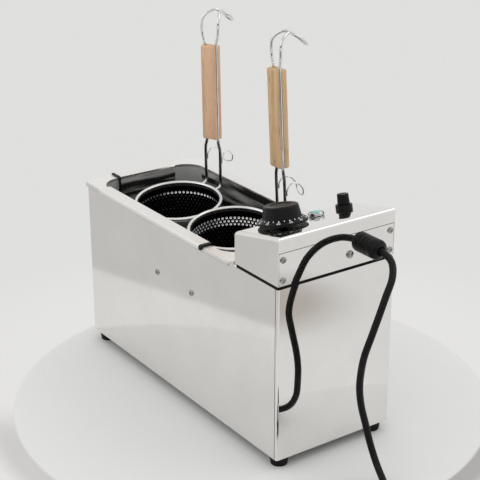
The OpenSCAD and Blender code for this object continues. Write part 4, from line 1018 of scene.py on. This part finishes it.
class COOKER_OT_controls(bpy.types.Operator):
    """Dial, lamp and fuse holder"""

    bl_idname = "cooker.controls"
    bl_label = "Controls"

    # Lower and upper edge of the dial's skirt, as radius and height, and the print on it
    SKIRT_OUT_MM, SKIRT_IN_MM = (30.1, 5.7), (24.6, 8.9)
    PRINT_LIFT_MM, NUMBER_SIZE_MM, NUMBER_R_MM = 0.06, 4.6, 28.5
    SCALE_DEG, TICKS, NUMBERS = (-225.0, 45.0), 19, range(30, 130, 10)

    def execute(self, context):
        self.dial()
        dress("lamp_body", FINISHES["black"])
        dress("lamp_bezel", FINISHES["chrome"], 0.2)
        dress("lamp_lens", FINISHES["lens"])
        dress("fuse_holder", FINISHES["black"], 0.4)
        dress("fuse_cap", FINISHES["black"], 0.3)
        dress("fuse_link", FINISHES["chrome"])
        return {"FINISHED"}

    def dial(self):
        """Dial: the profile skirt edge, skirt cone, cap wall, cap edge and top recess, revolved."""
        profile = np.concatenate([
            [(0.0, 2.5), (29.6, 2.5)], arc((29.9, 3.1), 0.6, -90, 0, 4), arc((29.8, 4.9), 0.7, 0, 70, 5),
            [self.SKIRT_OUT_MM, self.SKIRT_IN_MM], arc((24.35, 9.75), 0.8, -110, -175, 4),
            [(23.45, 10.4), (21.5, 21.4)], arc((19.4, 22.1), 1.9, 10, 90, 8),
            [(13.6, 24.0), (13.2, 23.9), (12.8, 23.3), (12.2, 23.2), (0.0, 23.2)],
        ])
        points, faces = revolved(profile, TURNED_COLUMNS)
        dial = add_piece(
            "dial", on_panel(points, DIAL_Y_MM), faces, FINISHES["black"], "dial", "black_plastic",
            ("dial_knob",),
        )
        keep_sharp(dial, 40)
        add_piece("dial_marks", *self.marks(), FINISHES["print"], "dial", "black_plastic", smooth=False)

    def on_skirt(self, angle, along):
        """Points just above the skirt's cone: along runs from 0 at its rim to 1 at its top, in the dial's
        frame."""
        low, high = np.array(self.SKIRT_OUT_MM), np.array(self.SKIRT_IN_MM)
        out = unit((high - low)[::-1] * (1, -1))
        r, z = (low + (high - low) * np.asarray(along)[:, None] + out * self.PRINT_LIFT_MM).T
        return np.column_stack([polar(r, angle), z])

    def marks(self):
        """Ticks and plain numbers on the skirt: flat quads and filled outlines bent onto its cone."""
        parts = []
        first, last = np.radians(self.SCALE_DEG)
        for k, a in enumerate(np.linspace(first, last, self.TICKS)):
            half, low = (0.027, 0.66) if k % 2 == 0 else (0.022, 0.74)
            corners = self.on_skirt(a + half * np.array([-1, 1, 1, -1]), [low, low, 0.98, 0.98])
            parts.append((corners, [np.array([[0, 1, 2, 3]])]))
        slant = math.dist(self.SKIRT_OUT_MM, self.SKIRT_IN_MM)
        for a, number in zip(np.linspace(last, first, len(self.NUMBERS)), self.NUMBERS):
            flat, triangles = self.outline(str(number))
            spots = self.on_skirt(a + flat[:, 0] / self.NUMBER_R_MM, 0.05 + flat[:, 1] / slant)
            parts.append((spots, [triangles]))
        points, faces = joined(parts)
        return on_panel(points, DIAL_Y_MM), faces

    def outline(self, number):
        """Filled outline of a number in millimetres, centred on x, as points and triangles."""
        curve = bpy.data.curves.new("number", "FONT")
        curve.body, curve.size, curve.align_x = number, self.NUMBER_SIZE_MM, "CENTER"
        obj = add_object("number", curve)
        shape = obj.evaluated_get(bpy.context.evaluated_depsgraph_get()).to_mesh()
        shape.calc_loop_triangles()
        points = listed(shape.vertices, "co", 3, np.float32)[:, :2].astype(float)
        triangles = listed(shape.loop_triangles, "vertices", 3).astype(int)
        bpy.data.objects.remove(obj)
        bpy.data.curves.remove(curve)
        return points, triangles


class COOKER_OT_baskets(bpy.types.Operator):
    """Perforated baskets with wire handles and wooden grips"""

    bl_idname = "cooker.baskets"
    bl_label = "Baskets"

    # Points on the border of a pierced cell, in half cells from its middle
    CELL = np.array([(1, 0), (1, 1), (0, 1), (-1, 1), (-1, 0), (-1, -1), (0, -1), (1, -1)], float)

    # Rows of lips in each cup that are painted pale as light through the holes, their paleness away from the
    # lit side, that side's direction, and the cosines from it between which they fade
    PALE_ROWS, PALE_LEAST = (1.0, 3.0), (0.10, 0.36)
    LIT_SIDE, LIT_FADE = (-0.64, 0.77), (0.66, 0.94)

    # Sheet of the cups, what the rims' wire has more than in the CAD part, and plain rings of the floors
    CUP_SHEET_MM, RIM_EXTRA_MM, FLOOR_RING_MM = 0.8, 0.35, 1.6

    def execute(self, context):
        for i in range(2):
            self.cup(context.scene.cooker_baskets, i)
            self.rim(i)
            self.wires(i)
            self.grip(i)
        return {"FINISHED"}

    def add(self, i, name, node, points, faces, finish, slot):
        """Piece of a basket that moves with it and stands for one of its CAD nodes."""
        number = i + 1
        return add_piece(
            f"{name}_{number}", points, faces, FINISHES[finish], f"basket_{number}", slot,
            (f"{node}_{number}",),
        )

    def wall_radius(self, z):
        """Cup radius in millimetres at a height below the rim, on its straight taper."""
        low, high = CUP_EDGE_MM - CUP_DEPTH_MM, -RIM_WIRE_MM / 2
        return CUP_FLOOR_MM + (CUP_TOP_MM - CUP_FLOOR_MM) * (z - low) / (high - low)

    def cells(self, columns, centre, half_height, hole_across, hole_along):
        """Rings of square cells with a round hole, in angle and height: eight points on a cell's border
        and eight on the hole. Every second ring is shifted by half a cell, so that borders meet point
        to point."""
        rows, half = len(centre), math.pi / columns
        a = (np.arange(columns)[None, :] + 0.5 * (np.arange(rows)[:, None] % 2)) * 2 * half
        turn = np.arange(8) * math.pi / 4

        def around(across, along):
            """Eight points round the middle of each cell."""
            return np.stack(np.broadcast_arrays(a[..., None] + across, centre[:, None, None] + along), -1)

        border = around(half * self.CELL[:, 0], half_height * self.CELL[:, 1])
        hole = around(hole_across[:, None, None] * np.cos(turn), hole_along * np.sin(turn))
        points = np.concatenate([border, hole], 2).reshape(-1, 2)
        base = np.arange(rows * columns)[:, None] * 16
        k = np.arange(8)[None, :]
        n = (k + 1) % 8
        faces = np.stack([base + k, base + n, base + 8 + n, base + 8 + k], -1).reshape(-1, 4)
        return points, faces

    def cup(self, look, i):
        """Cup: the wall (a, z) -> (r(z) cos a, r(z) sin a, z) carries rings of pierced cells between
        a plain band and a round floor edge; the floor (a, r) has pierced rings of fewer columns."""
        n, dz, hole = look.columns, look.row_pitch, look.hole / 2
        top, low = -RIM_WIRE_MM / 2, CUP_EDGE_MM - CUP_DEPTH_MM
        first = top - look.band
        rows = int((first - low) // dz)
        levels = first - dz * (np.arange(rows) + 0.5)
        flat, quads = self.cells(n, levels, dz / 2, hole / self.wall_radius(levels), hole)
        wall = np.column_stack([polar(self.wall_radius(flat[:, 1]), flat[:, 0]), flat[:, 1]])
        band = np.linspace(top, first, 4)
        last, floor_r = first - dz * rows, CUP_FLOOR_MM - CUP_EDGE_MM
        below = [[(self.wall_radius(last), last)], arc((floor_r, low), CUP_EDGE_MM, 0, -90, 9)]
        points, faces = joined([
            (wall, [quads]), revolved(np.stack([self.wall_radius(band), band], -1), 2 * n),
            revolved(np.concatenate(below), 2 * n), self.floor(floor_r, 2 * n, hole),
        ])
        cup = self.add(i, "cup", "basket_cup", in_basket(points, i), faces, "cup", "cup_steel")
        keep_sharp(cup, 50)
        self.mark_holes(cup.data, i, hole * MM, first)
        self.mark_pale(cup.data, i, first - dz * self.PALE_ROWS[i])
        cup.data.materials.append(FINISHES["cup_inside"])
        sheet = cup.modifiers.new("Sheet", "SOLIDIFY")
        sheet.thickness = self.CUP_SHEET_MM * MM
        sheet.offset = -1.0
        sheet.material_offset = sheet.material_offset_rim = 1

    def floor(self, radius, columns, hole):
        """Floor of a cup from its edge inwards: each step halves the columns of points in a plain ring
        and carries two rings of pierced cells, and a fan closes the middle."""
        parts, rows = [], 2
        while columns > 16:
            inner = radius - self.FLOOR_RING_MM
            a = np.arange(columns) * 2 * math.pi / columns
            k = np.arange(columns // 2)
            out, across = 2 * k + 1, columns + k
            after, beside = (2 * k + 2) % columns, columns + (k + 1) % (columns // 2)
            parts.append((
                np.concatenate([polar(radius, a), polar(inner, a[::2])]),
                [np.stack([2 * k, out, across], -1), np.stack([out, after, beside, across], -1)],
            ))
            columns //= 2
            height = min(7.0, inner * 0.24)
            centre = inner - height * (np.arange(rows) + 0.5)
            flat, quads = self.cells(columns // 2, centre, height / 2, hole / centre, hole)
            parts.append((polar(flat[:, 1], flat[:, 0]), [quads]))
            radius = inner - height * rows
        ring = polar(radius, np.arange(columns) * 2 * math.pi / columns)
        parts.append((np.concatenate([ring, [(0.0, 0.0)]]), [fan(np.arange(columns), columns)]))
        points, faces = joined(parts)
        return np.column_stack([points, np.full(len(points), -CUP_DEPTH_MM)]), faces

    def spots(self, mesh, i):
        """A mesh's points, from the middle of the basket's mouth."""
        return listed(mesh.vertices, "co", 3, np.float32) - basket_frame(i)[0]

    def heights(self, mesh, i):
        """Heights of a mesh's points above the basket's sloping mouth, in millimetres."""
        p = self.spots(mesh, i)
        return (p[:, 2] - mouth_rise(p, i)) / MM

    def mark_pale(self, mesh, i, low):
        """Attribute pale, which marks the lips painted pale and glowing as light through the holes: 1 above
        a height under the mouth, and 0 from a millimetre below it. Away from the lit side of the wall it
        falls to a least value, as t t (3 - 2 t) of the way to that side."""
        dull, bright = self.LIT_FADE
        cosine = self.spots(mesh, i)[:, :2] @ self.LIT_SIDE / (CUP_TOP_MM * MM)
        lit = eased(np.clip((cosine - dull) / (bright - dull), 0, 1))
        least = self.PALE_LEAST[i]
        pale = np.clip(self.heights(mesh, i) - low + 1.0, 0, 1) * (least + (1 - least) * lit)
        mesh.attributes.new("pale", "FLOAT", "POINT").data.foreach_set("value", pale.astype(np.float32))

    def mark_holes(self, mesh, i, hole, first):
        """Attribute from_hole: a corner's distance from the centre of its face's hole, which is the
        hole's radius on the hole's edge, that and the way to the edge on the border of a pierced cell,
        and ten radii on plain faces."""
        ends = listed(mesh.edges, "vertices", 2)
        uses = np.bincount(listed(mesh.loops, "edge_index"), minlength=len(mesh.edges))
        open_edge = np.zeros(len(mesh.vertices), bool)
        open_edge[ends[uses == 1]] = True
        open_edge[self.heights(mesh, i) > first] = False
        starts, sizes = listed(mesh.polygons, "loop_start"), listed(mesh.polygons, "loop_total")
        loops = starts[sizes == 4][:, None] + np.arange(4)
        quads = listed(mesh.loops, "vertex_index")[loops]
        places = listed(mesh.vertices, "co", 3, np.float32)
        spread = np.full(len(mesh.loops), 10 * hole, np.float32)
        for side in (1, -1):
            beside = np.roll(quads, side, axis=1)
            way = np.linalg.norm(places[quads] - places[beside], axis=-1)
            spread[loops] = np.where(open_edge[beside] & ~open_edge[quads], hole + way, spread[loops])
        spread[loops] = np.where(open_edge[quads], hole, spread[loops])
        mesh.attributes.new("from_hole", "FLOAT", "CORNER").data.foreach_set("value", spread)

    def rim(self, i):
        """Rim: a circle of the wire's radius, a little thickened, carried round the cup's mouth."""
        low, high = node_box(f"basket_rim_{i + 1}")
        wire = RIM_WIRE_MM / 2 + self.RIM_EXTRA_MM
        radius = (high[0] - low[0]) / 2 / MM - wire
        points, faces = revolved(arc((radius, 0.0), wire, 0, 360, 17), RIM_COLUMNS)
        self.add(i, "rim", "basket_rim", in_basket(points, i), faces, "rim", "wire_steel")

    def wires(self, i):
        """Handle wire and pot hook: round tubes along curves through the given points."""
        x, y, groove, loop = WIRE_X_MM, WIRE_Y_MM, GROOVE_X_MM, LOOP_X_MM
        low, high, top, reach = GRIP_Z_MM, GRIP_Z_MM + GRIP_L_MM, LOOP_TOP_MM, WIRE_Y_MM + LOOP_REACH_MM
        handle = [
            (x, math.sqrt(RIM_R_MM**2 - (x - WIRE_D_MM / 2) ** 2) + 0.3, 0), (x, y - 3, 0.4), (x, y, 5),
            (x, y, 20), (x, y, low - 18), (groove + 0.6, y, low - 7), (groove, y, low + 2),
            (groove, y, (low + high) / 2), (groove, y, high - 2), (groove + 1.2, y, high + 6),
            (loop, y, high + 17), (loop, y + 1, high + 33), (loop - 4, y + 7, top - 4),
            (loop - 9.5, y + 16, top), (WIRE_D_MM / 2 + 0.6, reach - 18, top - 4), (5, reach - 10, top - 9),
            (3.5, reach - 3, top - 15), (0, reach, top - 18),
        ]
        y, z, reach = POT_Y_MM, POT_Z_MM, POT_Y_MM + POT_REACH_MM
        pot = [
            (x, y, z), (x, y + 0.6, z + 8), (x - 0.5, y + 6, z + 15), (x - 1.5, reach - 9, z + 15),
            (x - 2, reach - 2, z + 8), (x - 2.5, reach, z + 2), (x - 5, reach, z - 4), (0, reach, z - 7),
        ]
        for name, node, half, d in (
            ("handle_wire", "basket_wire", handle, WIRE_D_MM),
            ("pot_hook", "basket_pot_hook", pot, POT_WIRE_MM),
        ):
            path = in_basket(leaned(curve_through(both_halves(half), 8), i), i)
            self.add(i, name, node, *tube(path, d / 2 * MM), name, "wire_steel")

    def grip(self, i):
        """Grip: a bevelled section with a round groove in each side, carried up the handle and
        drawn in over its last millimetres for rounded ends."""
        x, y, bevel, turn = GRIP_W_MM / 2, GRIP_T_MM / 2, 4.5, 1.2
        groove = WIRE_D_MM / 2 + 0.3
        mouth = math.sqrt(groove**2 - (x - GROOVE_X_MM) ** 2)
        opened = math.degrees(math.atan2(mouth, x - GROOVE_X_MM))
        side = np.concatenate([
            [(x, bevel - y + 0.4)], arc((GROOVE_X_MM, 0), groove, -opened, opened - 360, 15),
            [(x, y - bevel - 0.4)], arc((x - turn, y - bevel - 0.1), turn, 8, 40, 4),
            arc((x - bevel + 0.2, y - turn), turn, 50, 88, 4),
        ])
        section = np.concatenate([side, -side])
        ease = np.array([0.0, 0.25, 0.7, 1.5, 2.6])
        inset = 1.0 - 0.085 * (1 - np.sqrt(1 - (1 - ease / ease[-1]) ** 2))
        middle = np.linspace(ease[-1], GRIP_L_MM - ease[-1], 12)[1:-1]
        z = np.concatenate([ease, middle, GRIP_L_MM - ease[::-1]])
        scale = np.concatenate([inset, np.ones_like(middle), inset[::-1]])
        rings = section[None] * scale[:, None, None]
        height = np.broadcast_to(z[:, None, None], rings.shape[:2] + (1,))
        points = np.concatenate([rings, height], -1).reshape(-1, 3)
        points = np.concatenate([points, [(0, 0, 0), (0, 0, GRIP_L_MM)]]) + (0, WIRE_Y_MM, GRIP_Z_MM)
        points, faces = in_basket(leaned(points, i), i), capped(len(z), len(section))
        grip = self.add(i, "grip", "basket_grip", points, faces, f"beech_{i + 1}", "beech")
        keep_sharp(grip, 40)


# Steps in order, settings and the sidebar

STEPS = (
    COOKER_OT_stage, COOKER_OT_finishes, COOKER_OT_cord, COOKER_OT_casing, COOKER_OT_tank, COOKER_OT_head,
    COOKER_OT_controls, COOKER_OT_baskets,
)
LOOKS = {
    "cooker_steel": SteelLook,
    "cooker_baskets": BasketLook,
    "cooker_plastic": PlasticLook,
    "cooker_stage": StageLook,
}


class COOKER_PT_sidebar(bpy.types.Panel):
    """Settings and steps of the cooker's looks"""

    bl_idname = "COOKER_PT_sidebar"
    bl_label = "Pasta cooker"
    bl_space_type = "VIEW_3D"
    bl_region_type = "UI"
    bl_category = "Cooker"

    def draw(self, context):
        for name, group in LOOKS.items():
            box = self.layout.box()
            for prop in group.__annotations__:
                box.prop(getattr(context.scene, name), prop)
        for step in STEPS:
            self.layout.operator(step.bl_idname)


CLASSES = (*LOOKS.values(), *STEPS, COOKER_PT_sidebar)


def register():
    for cls in CLASSES:
        bpy.utils.register_class(cls)
    for name, group in LOOKS.items():
        setattr(bpy.types.Scene, name, PointerProperty(type=group))


def unregister():
    for name in LOOKS:
        delattr(bpy.types.Scene, name)
    for cls in reversed(CLASSES):
        bpy.utils.unregister_class(cls)


def main():
    register()
    for step in STEPS:
        getattr(bpy.ops.cooker, step.bl_idname.split(".")[1])()


if __name__ == "__main__":
    main()
